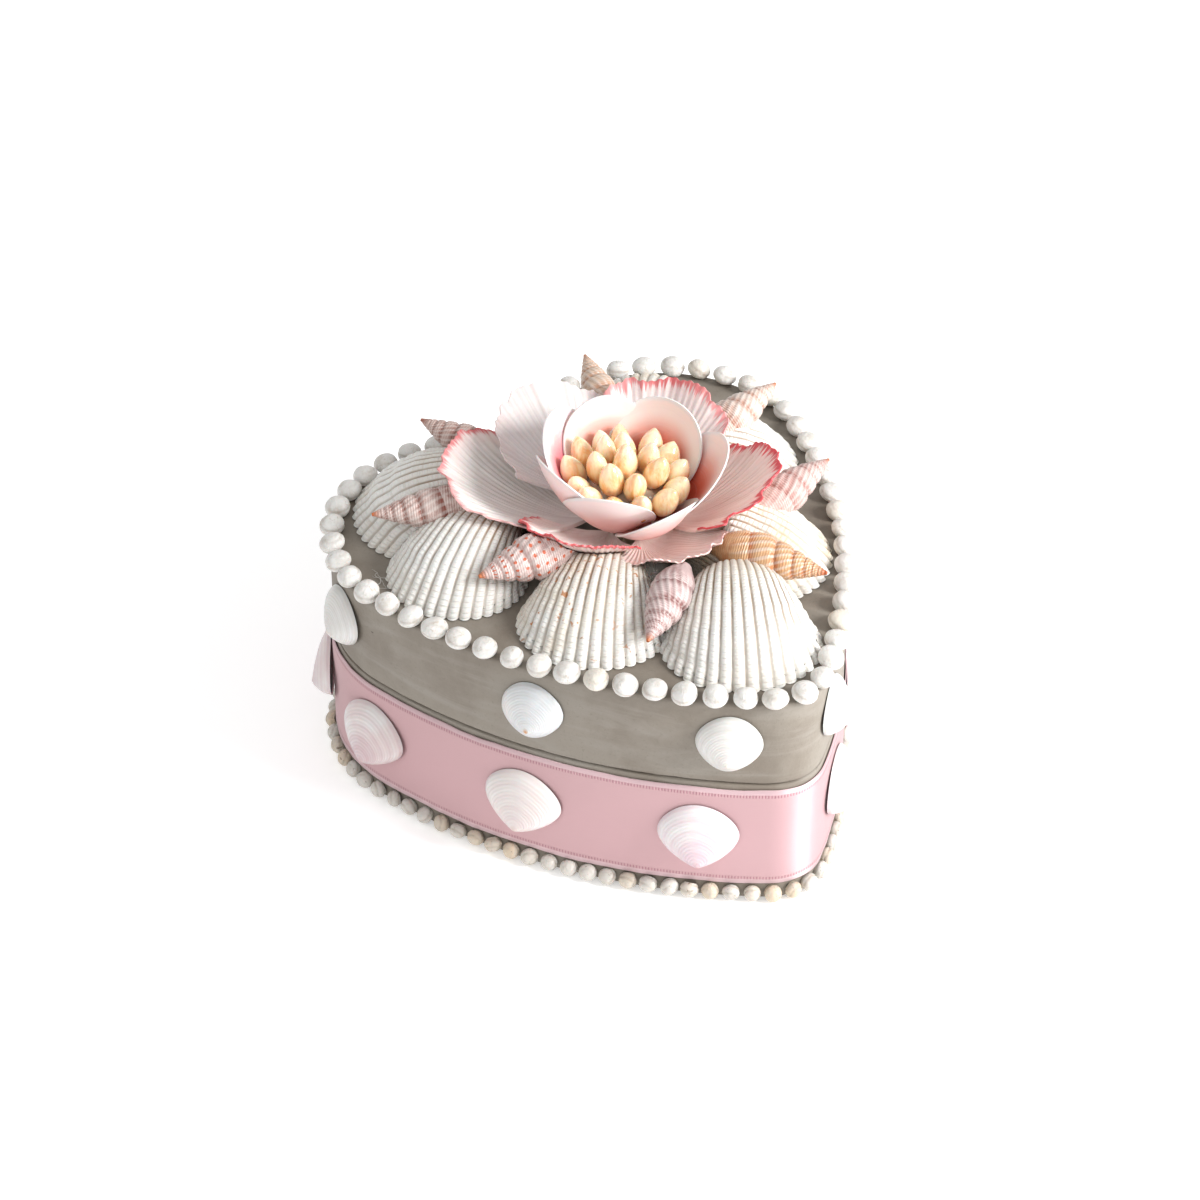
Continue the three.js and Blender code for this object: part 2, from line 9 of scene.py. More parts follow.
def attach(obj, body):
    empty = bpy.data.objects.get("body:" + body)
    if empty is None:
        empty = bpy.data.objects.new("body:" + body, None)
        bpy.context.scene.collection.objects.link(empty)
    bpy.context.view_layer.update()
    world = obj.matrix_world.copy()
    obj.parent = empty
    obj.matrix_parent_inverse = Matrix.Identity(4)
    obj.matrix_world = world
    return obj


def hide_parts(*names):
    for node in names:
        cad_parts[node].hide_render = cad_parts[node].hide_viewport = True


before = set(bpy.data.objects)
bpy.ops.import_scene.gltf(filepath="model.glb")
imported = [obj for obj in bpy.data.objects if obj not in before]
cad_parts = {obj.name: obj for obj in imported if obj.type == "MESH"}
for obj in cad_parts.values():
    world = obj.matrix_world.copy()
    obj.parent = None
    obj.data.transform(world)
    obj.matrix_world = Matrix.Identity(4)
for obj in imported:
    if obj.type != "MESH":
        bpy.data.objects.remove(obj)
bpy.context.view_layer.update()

# Lengths below are in millimetres, as in the part's own drawing, and become metres in Body.make
MM = 0.001

# Heart plan, levels and walls, the same as in the solids
LOBE_OFFSET, LOBE_RADIUS, SIDE_RADIUS, TIP_RADIUS, TIP_DROP = 36.0, 46.0, 188.0, 17.0, 106.0
BOX_HEIGHT, RIM_HEIGHT, WALL, FLOOR, LID_PANEL, GAP = 78.0, 46.4, 3.0, 3.0, 3.0, 0.3
LID_BOTTOM, LID_TOP = RIM_HEIGHT + GAP, BOX_HEIGHT + GAP
RIBBON_WIDTH, RIBBON_OUTER, RIBBON_BOTTOM = 38.0, 0.9, 6.6
FLOWER = np.array([0.8, -28.5, LID_TOP])


def specs(keys, *rows):
    return [dict(zip(keys.split(), row)) for row in rows]


# Where each shell lies: stations are shares of the way round the heart from its tip, angles are in degrees
COCKLES = specs(
    "station inset turn length width ribs",
    (-0.738, 5, 14, 46, 51, 35),
    (-0.482, 5.8, 8, 42, 44, 32),
    (-0.268, 6, 9, 41, 47, 33),
    (-0.07, 5.6, 7, 44, 49, 32),
    (0.25, 5.2, -10, 45, 47, 35),
    (0.475, 6, -3, 42, 45, 33),
    (0.75, 7, -10, 40, 44, 32),
    (-0.945, 7, 25, 37, 40, 32),
)
SPINDLES = specs(
    "station inset turn rise pitch length radius",
    (-0.642, 12.8, -9, 14, -4, 37, 6.6),
    (-0.43, 17.4, -33, 13, -6, 34, 7.4),
    (-0.192, 11.6, -7, 11, -8, 33, 6.6),
    (0.168, 6, -15, 14, 0, 38, 7),
    (0.379, 2.2, 37, 16, 4, 38, 6.6),
    (0.53, 7.3, 23, 19, 10, 36, 6.6),
    (0.867, 9, -25, 20, 14, 36, 6.6),
    (-0.867, 7.5, 33, 20, 12, 36, 6.6),
)
SCALLOPS = specs(
    "azimuth reach rise tilt roll length near_side",
    (136, 9, 9, 19, 5, 52, 0.6),
    (90, 10, 9.5, 25, 6, 46, 0.4),
    (36, 9, 9, 29, -6, 44, 0.4),
    (-31, 9, 9, 26, -8, 43.5, 0.4),
    (-89, 8, 8, 20, -4, 34, 0.4),
    (-161, 7, 8, 28, 6, 36.5, 0.4),
)
CUPS = specs(
    "azimuth reach rise tilt roll length",
    (-143, 5, 11.5, 47, 4, 31),
    (-92, 6, 10.5, 38, 4, 30),
    (-40, 5, 12, 43, 5, 37),
    (20, 5, 12, 51, 5, 34),
    (72, 5, 12, 53, 5, 33),
    (122, 5, 12, 54, 5, 36),
    (170, 5, 12, 49, 5, 34),
)
LID_CLAM, RIBBON_CLAM = specs(
    "offset level width height bulge umbo taper",
    (GAP, LID_BOTTOM + 16.5, 20, 19.5, 6, 0.3, 0.04),
    (RIBBON_OUTER + GAP, RIBBON_BOTTOM + 20, 25, 22, 6.5, 0.14, 0.11),
)
LID_CLAM_STATIONS = [-0.8, -0.6, -0.318, -0.088, 0.067, 0.262, 0.48, 0.72]
RIBBON_CLAM_STATIONS = [-0.88, -0.685, -0.541, -0.33, -0.122, 0.097, 0.25, 0.46, 0.67, 0.87]


# Small maths helpers

def smooth_noise(x, seed):
    """One-dimensional value noise in -1..1 at x, the same on every run."""
    x = np.asarray(x, float)
    table = np.random.default_rng(seed).uniform(-1, 1, 512)
    low = np.floor(x).astype(int)
    part = x - low
    part = part * part * (3 - 2 * part)
    return table[low % 512] * (1 - part) + table[(low + 1) % 512] * part


def plane_noise(x, y, seed):
    """Two-dimensional value noise in -1..1."""
    x, y = np.broadcast_arrays(np.asarray(x, float), np.asarray(y, float))
    table = np.random.default_rng(seed).uniform(-1, 1, (64, 64))
    ix, iy = np.floor(x).astype(int), np.floor(y).astype(int)
    fx, fy = x - ix, y - iy
    fx, fy = fx * fx * (3 - 2 * fx), fy * fy * (3 - 2 * fy)
    a, b = table[ix % 64, iy % 64], table[(ix + 1) % 64, iy % 64]
    c, d = table[ix % 64, (iy + 1) % 64], table[(ix + 1) % 64, (iy + 1) % 64]
    return (a * (1 - fx) + b * fx) * (1 - fy) + (c * (1 - fx) + d * fx) * fy


def turned(x=0.0, y=0.0, z=0.0):
    """Rotation matrix, angles in degrees: first about Y, then X, then Z."""
    a, b, c = (math.radians(v) for v in (x, y, z))
    about_x = np.array([[1, 0, 0], [0, math.cos(a), -math.sin(a)], [0, math.sin(a), math.cos(a)]])
    about_y = np.array([[math.cos(b), 0, math.sin(b)], [0, 1, 0], [-math.sin(b), 0, math.cos(b)]])
    about_z = np.array([[math.cos(c), -math.sin(c), 0], [math.sin(c), math.cos(c), 0], [0, 0, 1]])
    return about_z @ about_x @ about_y


def moved(points, rotation, place):
    return points @ rotation.T + np.asarray(place, float)


def grid_normals(grid):
    rows = np.gradient(grid, axis=0)
    columns = np.gradient(grid, axis=1)
    normal = np.cross(rows, columns)
    return normal / np.maximum(np.linalg.norm(normal, axis=2, keepdims=True), 1e-9)


# Heart outline

def heart_arcs(offset):
    lobe, tip = np.array([LOBE_OFFSET, 0.0]), np.array([0.0, -TIP_DROP])
    span = tip - lobe
    length = np.hypot(*span)
    unit = span / length
    to_lobe, to_tip = SIDE_RADIUS - LOBE_RADIUS, SIDE_RADIUS - TIP_RADIUS
    along = (to_lobe ** 2 - to_tip ** 2 + length ** 2) / (2 * length)
    across = math.sqrt(to_lobe ** 2 - along ** 2)
    side = lobe + unit * along + np.array([unit[1], -unit[0]]) * across
    tip_angle = math.atan2(tip[1] - side[1], tip[0] - side[0])
    lobe_angle = math.atan2(lobe[1] - side[1], lobe[0] - side[0])
    notch_angle = math.acos(-LOBE_OFFSET / (LOBE_RADIUS + offset))
    return [
        (tip, TIP_RADIUS + offset, -math.pi / 2, tip_angle),
        (side, SIDE_RADIUS + offset, tip_angle, lobe_angle),
        (lobe, LOBE_RADIUS + offset, lobe_angle, notch_angle),
    ]


def half_length(offset):
    return sum(radius * (end - start) for _, radius, start, end in heart_arcs(offset))


def rim(share, offset):
    """Points x, y and outward heading at shares of the way from the tip (0) to the notch (1 or -1)."""
    share = np.atleast_1d(np.asarray(share, float))
    walk = np.abs(share) * half_length(offset)
    x, y, heading = np.zeros_like(walk), np.zeros_like(walk), np.zeros_like(walk)
    start = 0.0
    for k, (centre, radius, low, high) in enumerate(heart_arcs(offset)):
        reach = radius * (high - low)
        here = (walk >= start) if k == 2 else (walk >= start) & (walk < start + reach)
        angle = low + (walk - start) / radius
        x = np.where(here, centre[0] + radius * np.cos(angle), x)
        y = np.where(here, centre[1] + radius * np.sin(angle), y)
        heading = np.where(here, angle, heading)
        start += reach
    left = share < 0
    return np.where(left, -x, x), y, np.where(left, math.pi - heading, heading)


def spot(share, offset):
    return [float(value[0]) for value in rim(share, offset)]


# Mesh making

def stacked(*channels):
    """Arrays spread to one shape and joined along a last axis."""
    return np.stack(np.broadcast_arrays(*channels), axis=-1)


def circle(columns):
    return np.linspace(0, 2 * math.pi, columns, endpoint=False)[None, :]


class Body:
    """Gathers grids of points in millimetres, with UVs and tints, into one Blender object."""

    def __init__(self):
        self.points, self.faces, self.uvs, self.tints, self.count = [], [], [], [], 0

    def grid(self, grid, tint=(0.0, 0.0, 0.0), closed=False, flip=False, u_reach=1.0):
        rows, columns = grid.shape[:2]
        base = self.count
        spread = columns if closed else columns - 1
        r, c = np.meshgrid(np.arange(rows - 1), np.arange(spread), indexing="ij")
        r, c = r.ravel(), c.ravel()
        n = (c + 1) % columns
        quads = np.stack([r * columns + c, r * columns + n, (r + 1) * columns + n, (r + 1) * columns + c], 1)
        u0, u1 = (u_reach * k / spread for k in (c, c + 1))
        v0, v1 = (k / (rows - 1) for k in (r, r + 1))
        uv = np.stack([stacked(u0, v0), stacked(u1, v0), stacked(u1, v1), stacked(u0, v1)], 1)
        if flip:
            quads, uv = quads[:, ::-1], uv[:, ::-1]
        self.faces += (quads + base).tolist()
        self.uvs.append(uv.reshape(-1, 2))
        self.points.append(grid.reshape(-1, 3))
        self.tints.append(np.broadcast_to(tint, (rows, columns, 3)).reshape(-1, 3))
        self.count += rows * columns
        return base

    def polygon(self, indices):
        self.faces.append([int(i) for i in indices])
        self.uvs.append(np.zeros((len(indices), 2)))

    def make(self, name, material, slot, sharp=None):
        mesh = bpy.data.meshes.new(name)
        mesh.from_pydata((np.concatenate(self.points) * MM).tolist(), [], self.faces)
        layer = mesh.uv_layers.new(name="growth")
        layer.data.foreach_set("uv", np.concatenate(self.uvs).astype(np.float32).ravel())
        attribute = mesh.color_attributes.new(name="tint", type="FLOAT_COLOR", domain="POINT")
        tints = np.ones((self.count, 4), np.float32)
        tints[:, :3] = np.concatenate(self.tints)
        attribute.data.foreach_set("color", tints.ravel())
        mesh.polygons.foreach_set("use_smooth", np.ones(len(mesh.polygons), bool))
        if sharp is not None:
            mesh.set_sharp_from_angle(angle=math.radians(sharp))
        mesh.validate()
        mesh.materials.append(material)
        piece = bpy.data.objects.new(name, mesh)
        bpy.context.scene.collection.objects.link(piece)
        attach(piece, "root")
        return piece


# Materials

# Colours are read off the photo, whose light is brighter than full, so the paint is darker by this
LIGHTER_ROOM = 0.80


def srgb(r, g, b, share=LIGHTER_ROOM):
    def one(value):
        value /= 255
        linear = value / 12.92 if value <= 0.04045 else ((value + 0.055) / 1.055) ** 2.4
        return linear * share
    return (one(r), one(g), one(b), 1.0)


def lit_through(r, g, b):
    """Colour of a thin shell, painted paler than a thick one's to stand in for the light that comes through it.
    """
    return srgb(r, g, b, 0.97)


class Paint:
    """A Principled material with short ways to add texture nodes."""

    def __init__(self, name, **inputs):
        self.material = bpy.data.materials.new(name)
        self.material.use_nodes = True
        self.tree = self.material.node_tree
        self.shader = self.tree.nodes["Principled BSDF"]
        for key, value in inputs.items():
            self.shader.inputs[key.replace("_", " ")].default_value = value

    def node(self, kind, **settings):
        node = self.tree.nodes.new("ShaderNode" + kind)
        for key, value in settings.items():
            setattr(node, key, value)
        return node

    def feed(self, socket, value):
        if isinstance(value, (int, float)):
            socket.default_value = value
        elif isinstance(value, tuple):
            socket.default_value = value if len(value) == len(socket.default_value) else value[:3]
        else:
            self.tree.links.new(value, socket)

    def place(self, scale=(1.0, 1.0, 1.0), uv=False):
        if uv:
            source = self.node("UVMap", uv_map="growth").outputs[0]
        else:
            source = self.node("TexCoord").outputs["Object"]
        mapping = self.node("Mapping")
        self.feed(mapping.inputs["Vector"], source)
        mapping.inputs["Scale"].default_value = scale
        return mapping.outputs[0]

    def growth(self):
        """The growth UV's own u and v."""
        split = self.node("SeparateXYZ")
        self.feed(split.inputs[0], self.place(uv=True))
        return split.outputs[0], split.outputs[1]

    def noise(self, where, scale, detail=3.0, rough=0.55, distortion=0.0):
        node = self.node("TexNoise")
        self.feed(node.inputs["Vector"], where)
        numbers = {"Scale": scale, "Detail": detail, "Roughness": rough, "Distortion": distortion}
        for key, value in numbers.items():
            node.inputs[key].default_value = value
        return node.outputs["Fac"]

    def cells(self, where, scale):
        node = self.node("TexVoronoi")
        self.feed(node.inputs["Vector"], where)
        node.inputs["Scale"].default_value = scale
        return node.outputs["Distance"]

    def tint(self):
        split = self.node("SeparateColor")
        self.feed(split.inputs[0], self.node("Attribute", attribute_name="tint").outputs["Color"])
        return split.outputs[0], split.outputs[1], split.outputs[2]

    def math(self, operation, a, b=0.0, clamp=False):
        node = self.node("Math", operation=operation, use_clamp=clamp)
        for socket, value in zip(node.inputs, (a, b)):
            self.feed(socket, value)
        return node.outputs[0]

    def times(self, a, b, clamp=False):
        return self.math("MULTIPLY", a, b, clamp)

    def sine(self, value, turns):
        return self.math("SINE", self.times(value, 2 * math.pi * turns))

    def span(self, value, low, high, out_low=0.0, out_high=1.0):
        node = self.node("MapRange", interpolation_type="SMOOTHSTEP")
        ends = {"Value": value, "From Min": low, "From Max": high, "To Min": out_low, "To Max": out_high}
        for key, number in ends.items():
            self.feed(node.inputs[key], number)
        return node.outputs[0]

    def mix(self, share, a, b):
        node = self.node("Mix", data_type="RGBA")
        self.feed(node.inputs[0], share)
        self.feed(node.inputs[6], a)
        self.feed(node.inputs[7], b)
        return node.outputs[2]

    def color(self, color, *layers):
        """Base colour, with each (share, tone) or (share, tone, amount) laid over it in turn."""
        for share, tone, *amount in layers:
            color = self.mix(self.times(share, amount[0]) if amount else share, color, tone)
        self.feed(self.shader.inputs["Base Color"], color)

    def rough(self, value):
        self.feed(self.shader.inputs["Roughness"], value)

    def bump(self, *layers):
        """Layers are (height, distance in millimetres)."""
        normal = None
        for height, distance in layers:
            node = self.node("Bump")
            node.inputs["Strength"].default_value = 1.0
            node.inputs["Distance"].default_value = distance * MM
            self.feed(node.inputs["Height"], height)
            if normal is not None:
                self.feed(node.inputs["Normal"], normal)
            normal = node.outputs[0]
        self.feed(self.shader.inputs["Normal"], normal)


def taupe_paint():
    p = Paint("taupe_paint", Specular_IOR_Level=0.35)
    where = p.place()
    strokes = p.noise(p.place((16, 16, 110)), 1, 5, 0.62, 1.2)
    blotch = p.noise(where, 24, 5, 0.62)
    fine = p.noise(where, 1100, 3, 0.7)
    nicks = p.span(p.cells(p.place((70, 70, 160)), 1), 0.045, 0.015)
    nicks = p.times(nicks, p.span(p.noise(where, 55, 1), 0.54, 0.62))
    p.color(
        p.mix(p.span(blotch, 0.38, 0.62), srgb(134, 124, 112), srgb(153, 145, 134)),
        (p.span(strokes, 0.45, 0.72, 0, 0.50), srgb(166, 160, 151)),
        (p.span(fine, 0.56, 0.70, 0, 0.30), srgb(118, 109, 95)),
        (nicks, srgb(98, 90, 78)),
    )
    p.rough(p.span(blotch, 0.3, 0.7, 0.5, 0.7))
    p.bump((strokes, 0.22), (blotch, 0.40), (fine, 0.09), (p.math("SUBTRACT", 1, nicks), 0.3))
    return p.material


def card():
    p = Paint("liner_card", Roughness=0.85)
    fibre = p.noise(p.place(), 700, 4, 0.7)
    p.color(p.mix(fibre, srgb(176, 168, 152), srgb(196, 188, 173)))
    p.bump((fibre, 0.08))
    return p.material


STITCHES = 560
THREADS = 46


def satin():
    """Satin with its warp along the ribbon, a paler selvedge and a row of stitches at each edge."""
    p = Paint(
        "pink_satin", Metallic=0.38, Specular_IOR_Level=0.8,
        Anisotropic=1, Anisotropic_Rotation=0.25, Sheen_Weight=0.15, Sheen_Roughness=0.35,
    )
    along, across = p.growth()
    edge = p.math("ABSOLUTE", p.math("SUBTRACT", across, 0.5))
    row = p.times(p.span(edge, 0.420, 0.430), p.span(edge, 0.458, 0.448))
    holes = p.times(p.span(p.sine(along, STITCHES), -0.1, 0.6), row)
    warp = p.noise(p.place((9000, 9, 1), uv=True), 1, 1)
    weft = p.noise(p.place((60, 900, 1), uv=True), 1, 2)
    soft = p.noise(p.place(), 30, 3)
    p.color(
        p.mix(soft, srgb(213, 167, 171), srgb(223, 181, 184)),
        (weft, srgb(226, 192, 197), 0.40),
        (p.span(edge, 0.452, 0.460), srgb(244, 212, 217), 0.7),
        (holes, srgb(186, 124, 138), 0.75),
    )
    p.rough(p.span(soft, 0.3, 0.7, 0.40, 0.47))
    p.bump((weft, 0.03), (warp, 0.015), (soft, 0.25), (p.math("SUBTRACT", 1, holes), 0.12))
    tangent = p.node("Tangent", direction_type="UV_MAP", uv_map="growth")
    p.feed(p.shader.inputs["Tangent"], tangent.outputs[0])
    return p.material


def bead_paint(name, light, warm, speck, speckle, groove):
    p = Paint(name, Specular_IOR_Level=0.4, Subsurface_Weight=0.06, Subsurface_Scale=0.002)
    shade, spiral, _ = p.tint()
    where = p.place()
    cloud = p.noise(where, 260, 4, 0.65)
    p.color(
        p.mix(p.span(shade, 0.55, 1), light, warm),
        (p.span(cloud, 0.42, 0.72, 0, 0.75), srgb(208, 201, 191)),
        (p.span(p.noise(where, 620, 3, 0.7, 0.8), 0.60, 0.70), speck, speckle),
        (spiral, srgb(160, 142, 122), groove),
    )
    lines = p.math("SINE", p.times(p.noise(where, 210, 2, 0.5), 60))
    p.bump((cloud, 0.16), (lines, 0.03), (p.noise(where, 1800, 2), 0.03))
    return p.material


def cockle_paint(name, umbo, umbo_share, specks, cream):
    """White ribs with brown grooves, faint growth rings and orange specks here and there."""
    p = Paint(name, Specular_IOR_Level=0.4, Subsurface_Weight=0.05, Subsurface_Scale=0.002)
    groove, growth, _ = p.tint()
    where = p.place()
    cloud = p.noise(where, 60, 4, 0.6)
    rings = p.noise(p.place((8, 90, 1), uv=True), 1, 3, 0.6)
    old = p.times(p.span(growth, 0, 0.5), 0.50)
    # Darker brown in the grooves, more so towards the umbo, in patches
    groove_brown = p.times(p.span(groove, 0.22, 0.72), p.math("ADD", old, 0.42))
    groove_brown = p.times(groove_brown, p.span(p.noise(where, 90, 3), 0.3, 0.6, 0.6, 1))
    spots = p.times(p.span(p.noise(where, 380, 2, 0.6, 0.5), 0.62, 0.70), specks)
    spots = p.times(spots, p.span(p.noise(where, 40, 1), 0.42, 0.6))
    p.color(
        p.mix(p.span(cloud, 0.35, 0.75, 0, cream), srgb(240, 239, 235, 0.90), srgb(232, 212, 180, 0.88)),
        (groove_brown, srgb(146, 114, 80)),
        (p.span(rings, 0.55, 0.70), srgb(204, 190, 170), 0.30),
        (p.span(growth, 0.34, 0.7), umbo, umbo_share),
        (spots, srgb(202, 128, 66)),
    )
    knots = p.times(p.span(p.sine(p.growth()[1], 64), -0.4, 0.9), p.span(groove, 0.55, 0.1))
    p.bump((knots, 0.17), (rings, 0.22), (p.noise(where, 700, 3, 0.65), 0.08))
    return p.material


def spindle_paint(name, pale, band, lines, apex, dots, bands):
    """A pale shell with bands along the sutures, fine threads and a coloured tip; some have dots."""
    p = Paint(name, Coat_Weight=0.15, Coat_Roughness=0.2)
    whorl, rib, share = p.tint()
    where = p.place()
    around, along = p.growth()
    cloud = p.noise(where, 170, 4, 0.65, 0.5)
    thread = p.sine(along, THREADS)
    near = p.math("ADD", p.span(whorl, 0.30, 0.02), p.span(whorl, 0.66, 0.98))
    near = p.times(near, p.span(cloud, 0.28, 0.6, 0.45, 1))
    layers = [
        (p.span(cloud, 0.5, 0.66), band, 0.55 * bands),
        (p.span(thread, 0.2, 0.95), lines, 0.42),
        (p.span(rib, 0.35, 0.9), srgb(244, 234, 228), 0.40),
    ]
    if dots > 0:
        row, step = p.math("ADD", p.sine(along, 11), 1), p.math("ADD", p.sine(around, 13), 1)
        layers.append((p.span(p.times(row, step), 2.5, 3.2), srgb(222, 98, 48), dots))
    layers.append((p.span(share, 0.10, 0), apex))
    p.color(p.mix(p.times(near, bands, clamp=True), pale, band), *layers)
    p.rough(p.span(cloud, 0.3, 0.7, 0.28, 0.44))
    p.bump((thread, 0.07), (p.noise(where, 900, 3), 0.05))
    return p.material


def scallop_paint(name, pale, streaks, fringe, margin, strength):
    """Grey-white ribbed inside, with a thin streaky margin of the second colour."""
    p = Paint(name, Roughness=0.4, Subsurface_Weight=0.12, Subsurface_Scale=0.002)
    depth, rib, place = p.tint()
    streak = p.noise(p.place((60, 1.6, 1), uv=True), 1, 4, 0.65)
    broad = p.noise(p.place((11, 0.7, 1), uv=True), 1, 3, 0.6)
    ring = p.noise(p.place((3, 40, 1), uv=True), 1, 3, 0.6)
    between = tuple(0.6 * a + 0.4 * b for a, b in zip(pale, streaks))
    reach = p.math("SUBTRACT", depth, p.times(p.span(streak, 0.35, 0.72), fringe))
    p.color(
        p.mix(p.span(broad, 0.34, 0.66), pale, between),
        (p.span(streak, 0.48, 0.72), streaks, 0.6),
        (p.span(ring, 0.5, 0.75), streaks, 0.22),
        (rib, lit_through(246, 243, 241), 0.25),
        (p.times(p.span(depth, 9, 0.5), place), lit_through(244, 200, 196), 0.4),
        (p.times(p.span(reach, 1.6, -0.6), p.times(place, strength), clamp=True), margin),
    )
    p.bump((ring, 0.10), (streak, 0.10), (p.noise(p.place(), 900, 3), 0.04))
    return p.material


def cup_paint(name, outer, blush, heart):
    """Translucent white rim, pink further in and a deeper tone on the inner face near the umbo."""
    p = Paint(name, Roughness=0.3, Subsurface_Weight=0.15, Subsurface_Scale=0.002)
    edge, _, inner = p.tint()
    cloud = p.noise(p.place(), 60, 3, 0.5)
    ring = p.noise(p.place((2, 60, 1), uv=True), 1, 2, 0.5)
    p.color(
        p.mix(p.span(edge, 0.86, 0.45), outer, blush),
        (p.times(p.span(edge, 0.86, 0.34), p.span(cloud, 0.2, 0.7, 0.7, 1)), heart, inner),
        (p.span(ring, 0.52, 0.7), srgb(250, 236, 234), 0.15),
        (p.span(edge, 0.94, 0.99), srgb(250, 247, 246)),
    )
    p.bump((ring, 0.05))
    return p.material


def stamen_paint():
    p = Paint(
        "cream_stamen", Roughness=0.12, Specular_IOR_Level=0.8,
        Coat_Weight=1, Coat_Roughness=0.04, Subsurface_Weight=0.4, Subsurface_Scale=0.004,
    )
    shade, height, _ = p.tint()
    cloud = p.noise(p.place((1, 1, 0.35)), 240, 4, 0.65, 0.6)
    # The stamen colours are painted paler, standing in for the light that comes through the thin shells
    p.color(
        p.mix(p.span(cloud, 0.42, 0.66), lit_through(253, 230, 186), lit_through(240, 180, 106)),
        (p.span(height, 0.62, 0), lit_through(228, 146, 76)),
        (p.times(shade, 0.6), lit_through(253, 242, 224), p.span(height, 0.3, 1)),
    )
    p.bump((cloud, 0.05))
    return p.material


def clam_paint(name, pale, rings_tone, umbo, pink):
    p = Paint(name, Roughness=0.34, Subsurface_Weight=0.12, Subsurface_Scale=0.002)
    growth, _, _ = p.tint()
    where = p.place()
    cloud = p.noise(where, 60, 4, 0.55)
    wander = p.math("ADD", growth, p.times(cloud, 0.09))
    lines = p.sine(wander, 17)
    p.color(
        p.mix(p.span(cloud, 0.35, 0.7), pale, srgb(240, 238, 236)),
        (p.span(p.sine(wander, 5.3), -0.6, 1, 0, 0.24), rings_tone),
        (p.span(lines, 0.2, 1, 0, 0.12), rings_tone),
        (p.span(growth, 0.25, 0.85), rings_tone, pink),
        (p.span(growth, 0.88, 0.99), umbo),
    )
    p.bump((lines, 0.03), (p.noise(where, 1200, 2), 0.02))
    return p.material


def glue_paint(name, tone, through):
    p = Paint(name, Roughness=0.12, Transmission_Weight=through, IOR=1.47)
    cloud = p.noise(p.place(), 120, 2)
    p.color(p.mix(cloud, tone, srgb(246, 243, 236)))
    p.bump((cloud, 0.2))
    return p.material


# Box and lid

def heart_solid(name, profile, material, wobble, node):
    """The outline drawn through a profile of (offset, level, share of the wobble), closed at both ends."""
    columns = 300
    share = np.linspace(-1, 1, columns, endpoint=False)
    rows = []
    for offset, level, waves in profile:
        x, y, _ = rim(share, offset)
        rows.append(stacked(x, y, level + waves * wobble(share)))
    body = Body()
    body.grid(np.stack(rows), closed=True, u_reach=540.0)
    body.polygon(np.arange(columns)[::-1])
    body.polygon(np.arange(columns) + (len(profile) - 1) * columns)
    piece = body.make(name, material, "taupe_paint", sharp=38)
    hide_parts(node)


def seam_wave(seed):
    def wave(share):
        rough = 0.45 * smooth_noise((share + 1) * 40, seed) + 0.3 * smooth_noise((share + 1) * 120, seed + 1)
        chips = np.maximum(0, smooth_noise((share + 1) * 75, seed + 2) - 0.55)
        return rough * 0.55 - 0.9 * chips
    return wave


def build_box(paint):
    low, top = LID_BOTTOM, RIM_HEIGHT
    base = [
        (-9, FLOOR, 0), (-WALL - 0.6, FLOOR, 0), (-WALL, FLOOR + 0.6, 0), (-WALL, top - 0.4, 0),
        (-WALL + 0.4, top, 0), (-0.8, top - 0.05, 0.15), (-0.25, top - 0.35, 0.5), (0, top - 1, 0.4),
        (0, top - 2.5, 0), (0, 24, 0), (0, 2, 0), (0, 0.9, 0), (-0.3, 0.25, 0), (-1, 0, 0), (-9, 0, 0),
    ]
    heart_solid("box_body", base, paint, seam_wave(3), "box_base")
    ceiling = BOX_HEIGHT - LID_PANEL
    lid = [
        (-9, ceiling, 0), (-WALL - 0.5, ceiling, 0), (-WALL, ceiling - 0.5, 0), (-WALL, low + 0.4, 0),
        (-WALL + 0.4, low, 0), (-0.9, low + 0.05, 0), (-0.3, low + 0.35, -0.5), (0, low + 1, -0.4),
        (0, low + 2.5, 0), (0, 62, 0), (0, BOX_HEIGHT - 1.6, 0), (-0.15, BOX_HEIGHT - 0.7, 0),
        (-0.55, BOX_HEIGHT - 0.2, 0), (-1.3, BOX_HEIGHT, 0), (-9, BOX_HEIGHT, 0),
    ]
    heart_solid("lid_body", lid, paint, seam_wave(8), "lid")


def build_ribbon(material):
    columns, rows, thick = 720, 12, 0.42
    share = np.linspace(-1, 1, columns, endpoint=False)
    x, y, heading = rim(share, GAP)
    body = Body()
    skins = []
    for depth in (0.0, thick):
        grid = []
        for v in np.linspace(0, 1, rows):
            lip = np.exp(-min(v, 1 - v) * 30)
            side = int(v > 0.5)
            wave = 0.10 * smooth_noise((share + 1) * 60, 11 + side) * lip
            soft = 0.05 * smooth_noise((share + 1) * 18 + v * 1.7, 14)
            push = RIBBON_OUTER - 0.12 + wave + soft - depth - GAP
            level = RIBBON_BOTTOM + RIBBON_WIDTH * v
            level = level + 0.25 * lip * smooth_noise((share + 1) * 25, 17 + side)
            grid.append(stacked(x + push * np.cos(heading), y + push * np.sin(heading), level))
        skins.append(np.stack(grid))
    base = body.grid(skins[0], closed=True)
    body.grid(skins[1], closed=True, flip=True)
    count = rows * columns
    for edge in (0, rows - 1):
        for i in range(columns):
            j = (i + 1) % columns
            a, b = base + edge * columns + i, base + edge * columns + j
            quad = [a, b, b + count, a + count]
            body.faces.append(quad if edge else quad[::-1])
            body.uvs.append(np.tile(np.array([[i / columns, edge / (rows - 1)]]), (4, 1)))
    piece = body.make("ribbon_band", material, "pink_satin")
    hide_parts("ribbon")


# Rows of small round shells with a low spiral

